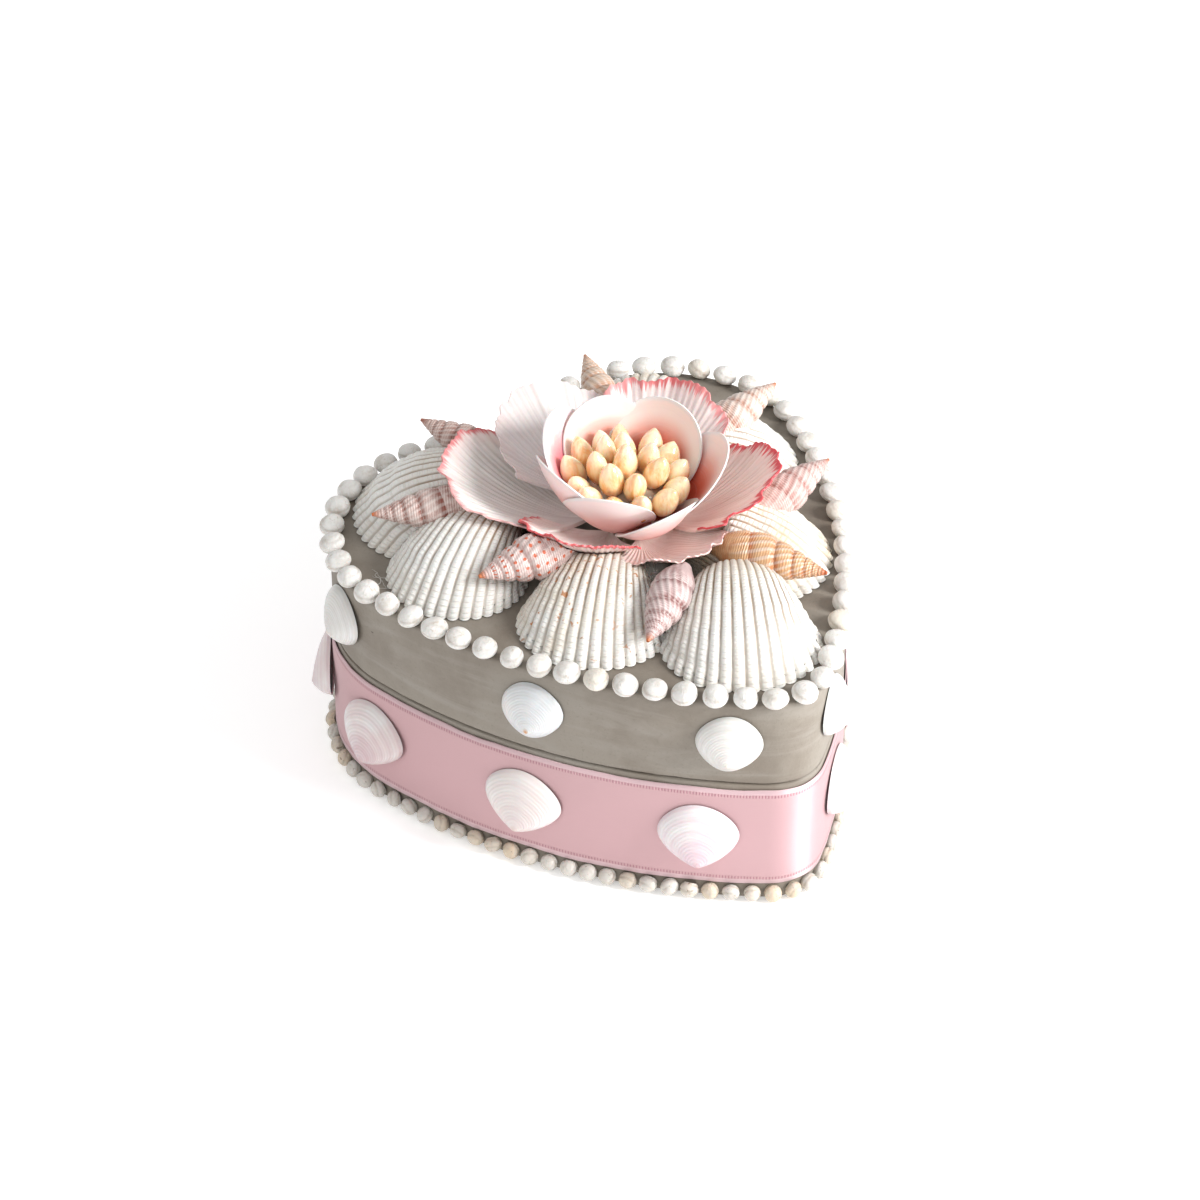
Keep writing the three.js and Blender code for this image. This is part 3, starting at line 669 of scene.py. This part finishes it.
def bead_grid(radius, height, seed, turns=2.4, depth=0.05, rows=15, columns=28):
    phi = circle(columns)
    fall = np.linspace(0.0, 1.0, rows)[:, None] * math.pi * 0.80
    out, level = np.sin(fall) ** 0.95, np.cos(fall)
    phase = (turns * fall / math.pi - phi / (2 * math.pi)) % 1
    groove = np.exp(-((np.minimum(phase, 1 - phase)) / 0.10) ** 2) * np.sin(fall) ** 2
    lump = plane_noise(1.6 * np.sin(fall) * np.cos(phi) + 3, 1.6 * np.sin(fall) * np.sin(phi) + 5, seed)
    size = (1 - depth * groove) * (1 + 0.04 * lump)
    x = radius * out * size * np.cos(phi)
    y = radius * out * size * np.sin(phi)
    return stacked(x, y, height * level * size), groove


def build_beads(top_paint, foot_paint):
    rng = np.random.default_rng(21)
    body = Body()
    count = 2 * round(half_length(-0.9) / 9)
    for i in range(count):
        share = (2 * i / count) - 1
        x, y, heading = spot(share + rng.normal(0, 0.0006), -0.55)
        radius = 4.1 * (1 + rng.uniform(-0.08, 0.03))
        grid, groove = bead_grid(radius, 3.1 * (1 + rng.uniform(-0.1, 0.08)), int(rng.integers(1e6)))
        spin = turned(rng.normal(0, 9), rng.normal(0, 9), rng.uniform(0, 360))
        lean = turned(0, 0, math.degrees(heading)) @ turned(0, 14, 0)
        shade = rng.uniform(0, 1) ** 2
        grid = moved(grid, lean @ spin, (x, y, LID_TOP + 2.25))
        grid[..., 2] = np.maximum(grid[..., 2], LID_TOP - 0.6)
        body.grid(grid, stacked(shade, groove, 0.0), closed=True)
    top = body.make("top_bead_shells", top_paint, "white_bead_shell")
    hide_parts("top_bead_row")

    body = Body()
    end = 1 - 6 / half_length(GAP)
    count = round(2 * end * half_length(GAP) / 6.4)
    for i in range(count):
        share = end * (2 * (i + 0.5) / count - 1) + rng.normal(0, 0.0005)
        radius = 3.0 * (1 + rng.uniform(-0.09, 0.0))
        x, y, heading = spot(share, 1.55)
        grid, groove = bead_grid(radius, radius * 0.86, int(rng.integers(1e6)), 2.8, 0.09, 14, 24)
        face = turned(0, 90, 0) @ turned(rng.normal(0, 18), rng.normal(-18, 16), rng.uniform(0, 360))
        grid = moved(grid, turned(0, 0, math.degrees(heading)) @ face, (x, y, 3.25))
        grid[..., 2] = np.maximum(grid[..., 2], 0.15)
        body.grid(grid, stacked(rng.uniform(0, 1), groove, 0.0), closed=True)
    foot = body.make("foot_bead_shells", foot_paint, "grey_bead_shell")
    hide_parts("bottom_bead_row")


# Ribbed cockles

def below_petals(points, petals):
    """Points under the flower are kept just below the lowest petal above them."""
    flat = points.reshape(-1, 3)
    near = np.hypot(flat[:, 0] - FLOWER[0], flat[:, 1] - FLOWER[1]) < 62
    for i in np.flatnonzero(near):
        x, y, z = flat[i]
        hit = petals.ray_cast((x, y, LID_TOP), (0, 0, 1))[0]
        if hit is not None and hit.z - 0.6 < z < hit.z + 14:
            flat[i, 2] = max(hit.z - 0.6, LID_TOP + 0.3)
    return flat.reshape(points.shape)


def on_lid(points, spec):
    x, y, heading = spot(spec["station"], 0)
    x, y = x - spec["inset"] * math.cos(heading), y - spec["inset"] * math.sin(heading)
    rotation = turned(spec.get("pitch", 0), 0, math.degrees(heading) + spec["turn"] - 90)
    return moved(points, rotation, (x, y, LID_TOP + spec.get("rise", 0)))


def build_cockle(index, spec, material, petals):
    """The margin curve shrinks and turns about the hinge as it nears the umbo."""
    ribs, length, width = spec["ribs"], spec["length"], spec["width"]
    columns, rows = ribs * 8 + 1, 52
    t = np.linspace(0, 1, columns)[None, :]
    turn = (3.0 * np.linspace(0, 1, rows) ** 1.08)[:, None]
    around = -2.85 + 5.7 * t
    shrink = np.exp(-0.62 * turn)
    wave = 1 + 0.006 * smooth_noise(turn * 9, 40 + index)
    x = width * np.sin(around) / 2 * shrink * np.exp(0.16 * turn) * wave
    flat_y = length * (1 + np.cos(around)) / 2
    y = flat_y * shrink * np.cos(turn) * wave
    z = flat_y * shrink * 0.98 * np.sin(turn) * wave
    grid = stacked(x, y, z)
    normal = grid_normals(grid)
    rib = np.abs(np.sin(math.pi * ribs * t)) ** 0.7
    soft = np.clip(np.minimum(t, 1 - t) * 14, 0, 1)
    knobs = 1 + 0.22 * np.sin(turn * 34 + 0.6 * np.sin(around * 3)) * np.exp(-turn * 0.2)
    relief = 1.15 * shrink ** 0.85 * (rib * knobs - 0.72) * soft
    steps = 0.16 * smooth_noise(turn * 14 + 0.12 * np.sin(around * 5), 60 + index) * shrink
    grid = grid + normal * (relief + steps)[..., None]
    tongue = np.exp(-turn * 16) * (rib - 0.5) * 0.35
    radial = stacked(np.sin(around), 0.5 + np.cos(around), 0.0)
    grid = grid + radial * tongue[..., None]
    grid[..., 2] = np.maximum(grid[..., 2], 0.05)
    groove = (1 - rib) * soft
    margin = grid[0]
    inward = [0, length * 0.45, 0] - margin
    inward /= np.linalg.norm(inward, axis=1, keepdims=True)
    lip = np.stack([margin + inward * 2.2 + [0, 0, 2.2], margin + inward * 1.2, margin])
    hinge = np.array([0, length, 0])
    body = Body()
    tint = stacked(groove, 1 - shrink ** 0.9, 0.0)
    body.grid(below_petals(on_lid(grid - hinge, spec), petals), tint)
    body.grid(on_lid(lip - hinge, spec), stacked(groove * 0.2, 0.0, 0.0))
    piece = body.make(f"cockle_shell_{index + 1}", material, "cockle_shell")
    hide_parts(f"cockle_{index + 1}")


# Whorled spindle shells

SPINDLE_PROFILE = [
    (0, 0.02), (0.03, 0.12), (0.10, 0.27), (0.2, 0.47), (0.32, 0.68), (0.45, 0.87),
    (0.56, 0.98), (0.66, 1.0), (0.76, 0.93), (0.86, 0.74), (0.94, 0.5), (1.0, 0.34),
]


def build_spindle(index, spec, material, petals):
    """A spire of whorls turned about its axis, with sutures, ribs and fine threads."""
    rows, columns = 150, 84
    length, radius = spec["length"], spec["radius"]
    s = (np.linspace(0.004, 1, rows) ** 0.92)[:, None]
    phi = circle(columns)
    envelope = np.interp(s[:, 0], *zip(*SPINDLE_PROFILE))
    envelope = np.convolve(np.pad(envelope, 4, mode="edge"), np.ones(9) / 9, mode="valid")[:, None]
    growth = np.log(s / 0.54) / math.log(1.5)
    whorl = growth - phi / (2 * math.pi)
    frac = whorl % 1
    on_spire = 1 / (1 + np.exp(whorl * 9))
    bulge = np.sin(math.pi * frac) ** 0.55
    shoulder = 0.04 * np.exp(-((frac - 0.22) / 0.14) ** 2)
    size = 1 + on_spire * (0.17 * (bulge - 0.72) + shoulder)
    rib = 0.5 + 0.5 * np.cos((15 + index % 3) * (phi + 0.55 * growth))
    fade = np.clip((0.98 - s) / 0.35, 0, 1)
    size = size + (0.060 * (rib - 0.4) * (0.3 + 0.7 * bulge * on_spire + 0.7 * (1 - on_spire))) * fade
    size = size + 0.012 * np.sin(2 * math.pi * THREADS * s) * np.clip(s * 4, 0, 1)
    reach = radius * envelope * size
    bend = 0.5 * np.clip(s - 0.7, 0, 1) ** 2 * radius
    grid = stacked(reach * np.cos(phi) + bend, -length * s, reach * np.sin(phi))
    tint = stacked(np.where(whorl < 0, frac, 0.5), rib * fade, s)
    body = Body()
    placed = below_petals(on_lid(grid @ turned(0, 37 * index, 0).T, spec), petals)
    base = body.grid(placed, tint, closed=True)
    body.polygon(base + np.arange(columns))
    body.polygon(base + (rows - 1) * columns + np.arange(columns)[::-1])
    piece = body.make(f"spindle_shell_{index + 1}", material, "spindle_shell", sharp=70)
    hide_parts(f"spindle_{index + 1}")


# Thin valves of the flower

PETAL_SKINS = []


def petal_tree():
    """The outer skins of all the petals, for finding the height that is free below them."""
    points, faces, start = [], [], 0
    for skin in PETAL_SKINS:
        rows, columns = skin.shape[:2]
        index = np.arange(rows * columns).reshape(rows, columns) + start
        quads = np.stack([index[:-1, :-1], index[:-1, 1:], index[1:, 1:], index[1:, :-1]], axis=2)
        points += skin.reshape(-1, 3).tolist()
        faces += quads.reshape(-1, 4).tolist()
        start += rows * columns
    return BVHTree.FromPolygons(points, faces)


def in_flower(points, spec):
    azimuth = math.radians(spec["azimuth"])
    place = FLOWER + [spec["reach"] * math.cos(azimuth), spec["reach"] * math.sin(azimuth), spec["rise"]]
    return moved(points, turned(spec["tilt"], spec["roll"], spec["azimuth"] - 90), place)


def valve_grid(fan, reach, length, columns, rows, coil, end, power):
    """Rays fanned from the hinge, whose margin shrinks and turns towards the umbo."""
    ray = np.linspace(-fan, fan, columns)[None, :]
    turn = (end * np.linspace(0, 1, rows) ** power)[:, None]
    fade = np.exp(-coil * turn)
    shrink = fade * length * reach(ray)
    along = shrink * np.cos(ray)
    grid = stacked(shrink * np.sin(ray), along * np.cos(turn), -along * np.sin(turn))
    return ray, turn, fade, grid, grid_normals(grid)


def valve_body(outer, inner, tint_outer, tint_inner, spec):
    """Two skins in their place in the flower, joined by a wall round their edge."""
    outer, inner = in_flower(outer, spec), in_flower(inner, spec)
    rows, columns = outer.shape[:2]
    PETAL_SKINS.append(outer)
    body = Body()
    base = body.grid(outer, tint_outer, flip=True)
    other = body.grid(inner, tint_inner)
    sides = [
        range(columns), range(columns - 1, rows * columns, columns),
        range(rows * columns - 1, (rows - 1) * columns - 1, -1), range((rows - 1) * columns, -1, -columns),
    ]
    for side in sides:
        for i, j in zip(side[:-1], side[1:]):
            body.faces.append([base + i, base + j, other + j, other + i])
            body.uvs.append(np.tile([i % columns / columns, i // columns / rows], (4, 1)))
    return body


def build_scallop(index, spec, material, red):
    columns, rows, ribs = 241, 42, 30
    fan = 0.95
    reach = lambda ray: 1 - np.where(ray < 0, spec["near_side"], 0.4) * ray ** 2
    ray, turn, fade, grid, normal = valve_grid(fan, reach, spec["length"], columns, rows, 2.5, 1.2, 1.6)
    t = (ray / fan + 1) / 2
    rib = 0.5 - 0.5 * np.cos(2 * math.pi * ribs * t + 0.8 * smooth_noise(t * 12, 70 + index))
    edge = fade ** 3
    lift = 0.34 * (rib - 0.5) * fade ** 0.7
    ruffle = 1.5 * smooth_noise(t * 8 + 3, 80 + index) + 0.7 * smooth_noise(t * 21, 90 + index)
    lift = lift + ruffle * edge ** 1.5 + 0.35 * smooth_noise(turn * 9, 120 + index) * fade
    lift = lift + 0.8 * plane_noise(t * 3 + 7, turn * 3, 130 + index) * (1 - edge) * fade
    jag = 0.5 * (rib - 0.5) + 1.2 * smooth_noise(t * 24, 100 + index) + 1.1 * smooth_noise(t * 7, 110 + index)
    jag = jag * edge ** 2
    outward = stacked(np.sin(ray), np.cos(ray) * np.cos(turn), -np.cos(ray) * np.sin(turn))
    grid = grid + normal * lift[..., None] + outward * jag[..., None]
    thick = 0.5 + 0.6 * (1 - edge)
    inner = grid + normal * thick[..., None]
    tint = stacked((1 - fade) * spec["length"] * reach(ray), rib, red(ray))
    body = valve_body(grid, inner, tint, tint, spec)
    piece = body.make(f"scallop_shell_{index + 1}", material, "scallop_shell", sharp=75)
    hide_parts(f"scallop_petal_{index + 1}")


def build_cup(index, spec, material):
    columns, rows = 61, 40
    fan = 1.15
    reach = lambda ray: np.cos(ray) ** 1.2
    ray, turn, fade, grid, normal = valve_grid(fan, reach, spec["length"], columns, rows, 1.8, 1.5, 1.4)
    edge = fade ** 1.3
    t = (ray / fan + 1) / 2
    lift = 0.25 * smooth_noise(turn * 8, 140 + index) * fade
    lift = lift + 0.5 * smooth_noise(t * 4 + index, 150 + index) * edge
    grid = grid + normal * lift[..., None]
    thick = 0.5 + 0.7 * (1 - edge)
    inner = grid + normal * thick[..., None]
    body = valve_body(grid, inner, stacked(edge, 0.0, 0.3), stacked(edge, 0.0, 1.0), spec)
    piece = body.make(f"cup_shell_{index + 1}", material, "cup_shell", sharp=75)
    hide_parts(f"cup_petal_{index + 1}")


STAMEN_PROFILE = [
    (0, 0.30), (0.1, 0.64), (0.22, 0.87), (0.38, 1.0), (0.54, 0.98), (0.7, 0.84), (0.83, 0.62),
    (0.93, 0.38), (1.0, 0.08),
]
STAMEN_RINGS = [(1, 0, 24.6, 0), (7, 7.6, 23, 13), (13, 13.6, 19.8, 24)]
GLUE_PROFILE = np.array([
    (0.4, 25), (7, 23.5), (12, 21), (14, 19.5), (13, 17.5), (8, 14), (4.6, 12), (4.2, 6), (8.5, 1.5),
    (9, 0.2), (0.4, 0.1),
])


def build_stamens(material, glue):
    """Pointed shells in rings of (count, reach, rise, lean) in the bowl, and the glue that they are set in."""
    rng = np.random.default_rng(5)
    rows, columns = 22, 20
    share = np.linspace(0, 1, rows)
    curve = np.interp(share, *zip(*STAMEN_PROFILE))
    curve[1:-1] = (curve[:-2] + curve[1:-1] * 2 + curve[2:]) / 4
    curve[-2] = 0.27
    share, curve = share[:, None], curve[:, None]
    phi = circle(columns)
    body = Body()
    for count, reach, rise, lean in STAMEN_RINGS:
        for i in range(count):
            radius = 4.05 * (1 + rng.uniform(-0.06, 0.05))
            length = 13.2 * (1 + rng.uniform(-0.1, 0.06))
            grid = radius * curve * np.cos(phi), 0.93 * radius * curve * np.sin(phi), length * share
            tilt = turned(rng.normal(0, 4), lean + rng.normal(0, 4), 0) @ turned(0, 0, rng.uniform(0, 360))
            grid = moved(stacked(*grid), tilt, (reach, 0, rise - 1.2 + rng.uniform(-0.8, 0.8)))
            azimuth = 360 * i / count + (rng.normal(0, 3) if count > 1 else 0)
            grid = moved(grid, turned(0, 0, azimuth), FLOWER)
            base = body.grid(grid, stacked(rng.uniform(), share, 0.0), closed=True)
            body.polygon(base + np.arange(columns)[::-1])
            body.polygon(base + (rows - 1) * columns + np.arange(columns))
    stamens = body.make("stamen_shells", material, "stamen_shell")
    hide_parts("stamen_cluster")

    body = Body()
    phi = circle(48)
    out, level = GLUE_PROFILE[:, :1], GLUE_PROFILE[:, 1:]
    out = out * (1 + 0.10 * plane_noise(3 * np.cos(phi) + 5, 3 * np.sin(phi) + level * 0.3, 33))
    body.grid(stacked(out * np.cos(phi), out * np.sin(phi), level) + FLOWER, closed=True)
    body.make("glue_bed", glue, "stamen_shell")


GLUE_STRINGS = [(-72, 5, 250), (-74, 2, 285), (-71, -1, 225), (-76, -4, 300), (-72.5, -7, 200)]
GLUE_LUMPS = [(-5, -45, 5.5, 3.4), (1.5, -46, 4.0, 2.6), (-11, -43.5, 4.5, 2.8), (-3, -50, 3.2, 1.7)]


def build_glue(strings_paint, clear_paint):
    """Fine strings of glue by the left cockles and lumps of clear glue under the flower's near side."""
    rng = np.random.default_rng(77)
    body = Body()
    phi, thick, steps = circle(8), 0.11, 26
    for x, y, direction in GLUE_STRINGS:
        heading, path = math.radians(direction), []
        for k in range(steps):
            heading += rng.normal(0, 0.30)
            x, y = x + 0.42 * math.cos(heading), y + 0.42 * math.sin(heading)
            path.append((x, y, LID_TOP + 0.02 + 0.35 * math.sin(math.pi * k / (steps - 1))))
        path = np.array(path)
        along = np.gradient(path, axis=0)
        along /= np.linalg.norm(along, axis=1, keepdims=True)
        reach = thick * np.linspace(0.35, 1, steps)[:, None] * np.cos(phi)
        rise = thick * np.linspace(0.35, 1, steps)[:, None] * np.sin(phi)
        grid = stacked(-along[:, 1:2] * reach, along[:, :1] * reach, rise)
        body.grid(path[:, None, :] + grid, closed=True)
    body.make("glue_strings", strings_paint, "stamen_shell")

    body = Body()
    phi = circle(40)
    fall = np.linspace(0, 0.5, 14)[:, None] * math.pi
    for x, y, wide, high in GLUE_LUMPS:
        out = wide * np.sin(fall) * (1 + 0.22 * plane_noise(2 * np.cos(phi) + x, 2 * np.sin(phi) + y, 9))
        grid = stacked(x + out * np.cos(phi), y + 0.7 * out * np.sin(phi), LID_TOP + high * np.cos(fall))
        body.grid(grid, closed=True)
    body.make("clear_glue_lumps", clear_paint, "stamen_shell")


# Clams on the walls

def build_clams(prefix, spec, stations, materials, slot):
    """A row of flat valves on a wall, each a dome of rings shrunk towards its low umbo."""
    rng = np.random.default_rng(len(stations))
    angle = circle(72) - math.pi / 2
    down = np.maximum(0, -np.sin(angle))
    narrow = 1 - spec["taper"] * down ** 1.5
    square = 1 + 0.035 * np.cos(2 * angle) ** 2 - 0.02 * down
    q = np.linspace(1, 0, 26)[:, None] ** 0.85
    beak = 0.22 * (1 - q) ** 2
    rise = spec["bulge"] * ((1 - q ** 2.2) ** 0.62 * 0.86 + beak)
    for i, station in enumerate(stations):
        skew = rng.normal(0, 0.03)
        w = spec["width"] * (1 + rng.normal(0, 0.015))
        h = spec["height"] * (1 + rng.normal(0, 0.015))
        x = narrow * square * w * np.cos(angle) / 2 + skew * w * np.sin(angle) / 2
        y = square * h * np.sin(angle) / 2
        peak = h * (spec["umbo"] - 0.5)
        lines = 0.05 * smooth_noise(q * 30 + 0.15 * np.sin(angle * 2), 200 + i)
        grid = stacked(x * q, peak - beak * 2 + (y - peak) * q, rise + lines)
        grid[0, :, 2] = 0.0
        under = grid[:1] * [0.9, 0.9, 1.0] + [0, 0, 0.4]
        x0, y0, heading = spot(station, spec["offset"])
        spin = turned(90, 0, math.degrees(heading) + 90) @ turned(0, 0, rng.normal(0, 5))
        place = (x0, y0, spec["level"])
        body = Body()
        body.grid(moved(grid, spin, place), stacked(1 - q, 0.0, rng.uniform()), closed=True)
        body.grid(moved(np.concatenate([under, grid[:1]]), spin, place), closed=True)
        piece = body.make(f"{prefix}_valve_{i + 1}", materials[i % len(materials)], slot)
        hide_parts(f"{prefix}_{i + 1}")


# Set, light and camera

CAMERA_AZIMUTH, CAMERA_ELEVATION, CAMERA_DISTANCE, LENS = -35.329, 39.0, 1.40093, 129.74
TARGET = Vector((0.00777, -0.00528, 0.035))


def build_stage():
    p = Paint("studio_floor", Roughness=0.9, Specular_IOR_Level=0.1, Emission_Strength=0.32)
    p.color((0.97, 0.97, 0.97, 1.0))
    mesh = bpy.data.meshes.new("studio_floor")
    corners = [(-6, -6, 0), (6, -6, 0), (6, 6, 0), (-6, 6, 0)]
    mesh.from_pydata(corners, [], [(0, 1, 2, 3)])
    mesh.materials.append(p.material)
    floor = bpy.data.objects.new("studio_floor", mesh)
    bpy.context.scene.collection.objects.link(floor)


def area_light(name, place, size, power):
    light = bpy.data.lights.new(name, "AREA")
    light.shape = "DISK"
    light.size = size
    light.energy = power
    lamp = bpy.data.objects.new(name, light)
    lamp.location = place
    lamp.rotation_mode = "QUATERNION"
    lamp.rotation_quaternion = (TARGET - place).to_track_quat("-Z", "Y")
    bpy.context.scene.collection.objects.link(lamp)


def build_light_and_camera():
    scene = bpy.context.scene
    scene.view_settings.view_transform = "Standard"
    scene.view_settings.look = "None"
    world = bpy.data.worlds.new("studio")
    world.use_nodes = True
    background = world.node_tree.nodes["Background"]
    background.inputs["Color"].default_value = (1.0, 1.0, 1.0, 1.0)
    background.inputs["Strength"].default_value = 0.70
    scene.world = world
    azimuth, elevation = math.radians(CAMERA_AZIMUTH), math.radians(CAMERA_ELEVATION)
    right = Vector((math.cos(azimuth), math.sin(azimuth), 0))
    near = Vector((math.sin(azimuth), -math.cos(azimuth), 0))
    up = Vector((0, 0, 1))
    level = math.cos(elevation)
    back = Vector((math.sin(azimuth) * level, -math.cos(azimuth) * level, math.sin(elevation)))
    aside = math.radians(65)
    from_right = right * math.sin(aside) + near * math.cos(aside)
    area_light("key", TARGET + from_right * 1.02 + up * 0.72, 0.45, 15.0)
    area_light("low_key", TARGET + from_right * 1.05 + up * 0.22, 0.05, 5.0)
    area_light("fill", TARGET - right * 0.5 + near * 1.1 + up * 0.9, 1.1, 2.0)
    camera = bpy.data.cameras.new("camera")
    camera.lens, camera.sensor_width = LENS, 36.0
    camera.clip_start, camera.clip_end = 0.05, 50
    eye = bpy.data.objects.new("camera", camera)
    eye.location = TARGET + back * CAMERA_DISTANCE
    eye.rotation_mode = "QUATERNION"
    eye.rotation_quaternion = (-back).to_track_quat("-Z", "Y")
    scene.collection.objects.link(eye)
    scene.camera = eye


def main():
    build_stage()
    build_light_and_camera()
    paint = taupe_paint()
    build_box(paint)
    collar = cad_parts["inner_collar"]
    collar.data.materials.clear()
    collar.data.materials.append(card())
    build_ribbon(satin())
    white, warm, grey = srgb(240, 238, 234), srgb(234, 226, 212), srgb(222, 218, 210)
    top_paint = bead_paint("white_bead", white, warm, srgb(186, 168, 144), 0.5, 0.5)
    foot_paint = bead_paint("grey_bead", grey, srgb(222, 204, 178), srgb(120, 102, 84), 0.75, 0.55)
    build_beads(top_paint, foot_paint)
    plain = cockle_paint("cockle_white", srgb(226, 208, 180), 0.5, 0.05, 0.25)
    rosy = cockle_paint("cockle_rosy", srgb(206, 136, 114), 0.9, 0.12, 0.2)
    spotted = cockle_paint("cockle_spotted", srgb(216, 190, 156), 0.5, 0.85, 0.45)
    creamy = cockle_paint("cockle_cream", srgb(214, 184, 142), 0.7, 0.2, 0.95)
    spindles = [
        ("rust", (236, 214, 206), (156, 86, 70), (180, 126, 110), (206, 106, 40), 0, 1),
        ("dotted", (232, 204, 198), (206, 150, 142), (240, 226, 220), (206, 112, 50), 0.9, 0.5),
        ("mauve", (222, 198, 196), (148, 98, 96), (172, 122, 112), (202, 110, 56), 0, 0.95),
        ("orange", (232, 186, 140), (196, 104, 48), (196, 118, 66), (190, 84, 28), 0, 1),
        ("rose", (222, 192, 185), (166, 100, 90), (186, 132, 122), (190, 100, 60), 0, 0.8),
        ("sand", (234, 216, 204), (190, 130, 106), (204, 160, 140), (196, 114, 70), 0, 0.85),
        ("peach", (232, 206, 184), (196, 134, 96), (208, 162, 130), (196, 126, 84), 0, 0.8),
        ("dusk", (218, 190, 180), (150, 98, 84), (176, 126, 112), (160, 84, 60), 0, 1),
    ]
    # Most scallop colours are painted paler, standing in for the light that comes through the thin shells
    scallops = [
        (lit_through(238, 232, 228), lit_through(182, 166, 158), 2.2, srgb(226, 104, 108), 0.95),
        (srgb(238, 234, 232), srgb(208, 198, 195), 1.5, srgb(240, 214, 214), 0.3),
        (lit_through(240, 232, 230), lit_through(214, 196, 192), 4.0, srgb(236, 96, 100), 1.0),
        (lit_through(241, 225, 217), lit_through(203, 172, 160), 4.6, srgb(226, 84, 92), 1.1),
        (lit_through(236, 214, 206), lit_through(210, 176, 166), 2.0, srgb(236, 170, 168), 0.6),
        (lit_through(240, 226, 221), lit_through(212, 182, 174), 3.0, srgb(228, 100, 104), 1.1),
    ]
    reds = [
        lambda ray: np.clip(0.8 + 0.5 * ray, 0.12, 1),
        lambda ray: 0.4,
        lambda ray: np.clip(0.9 - 0.5 * np.abs(ray), 0, 1),
        lambda ray: np.clip(0.95 + 0.1 * ray, 0, 1),
        lambda ray: 0.5,
        lambda ray: 0.95,
    ]
    for i, (look, red) in enumerate(zip(scallops, reds)):
        build_scallop(i, SCALLOPS[i], scallop_paint(f"scallop_{i + 1}", *look), red)
    # The cup colours are painted paler, standing in for the light that comes through the thin shells
    rose = cup_paint("cup_rose", lit_through(246, 228, 227), lit_through(240, 170, 178), lit_through(222, 92, 112))
    blush = cup_paint("cup_blush", lit_through(246, 226, 222), lit_through(240, 180, 166), lit_through(226, 126, 104))
    peach = cup_paint("cup_peach", lit_through(246, 226, 220), lit_through(236, 148, 128), lit_through(212, 88, 64))
    pale = cup_paint("cup_pale", lit_through(246, 228, 225), lit_through(238, 188, 182), lit_through(232, 150, 138))
    for i, spec in enumerate(CUPS):
        build_cup(i, spec, {2: peach, 3: peach, 4: blush, 5: rose}.get(i, pale))
    free_below = petal_tree()
    for i, spec in enumerate(COCKLES):
        build_cockle(i, spec, {1: rosy, 2: spotted, 4: creamy, 6: creamy}.get(i, plain), free_below)
    for i, (name, *tones, dots, bands) in enumerate(spindles):
        paint = spindle_paint(f"spindle_{name}", *(srgb(*tone) for tone in tones), dots, bands)
        build_spindle(i, SPINDLES[i], paint, free_below)
    build_stamens(stamen_paint(), glue_paint("clear_glue", srgb(226, 206, 168), 0.35))
    strings_paint = glue_paint("glue_white", srgb(226, 222, 214), 0.2)
    build_glue(strings_paint, glue_paint("glue_clear", srgb(214, 206, 194), 0.75))
    bluish = clam_paint("clam_bluish", srgb(226, 229, 232), srgb(212, 210, 208), srgb(214, 160, 112), 0.15)
    greyish = clam_paint("clam_greyish", srgb(228, 226, 222), srgb(206, 200, 192), srgb(232, 224, 214), 0.25)
    whites = [greyish, greyish, bluish, greyish]
    build_clams("lid_clam", LID_CLAM, LID_CLAM_STATIONS, whites, "white_clam_shell")
    lilac = clam_paint("clam_lilac", srgb(240, 226, 230), srgb(222, 184, 198), srgb(226, 190, 196), 0.5)
    rosewhite = clam_paint("clam_rosewhite", srgb(240, 232, 228), srgb(226, 200, 200), srgb(232, 214, 206), 0.3)
    mauve = clam_paint("clam_mauve", srgb(232, 216, 214), srgb(206, 168, 176), srgb(216, 186, 186), 0.6)
    pinks = [mauve, mauve, mauve, rosewhite, lilac]
    build_clams("ribbon_clam", RIBBON_CLAM, RIBBON_CLAM_STATIONS, pinks, "pink_clam_shell")


main()
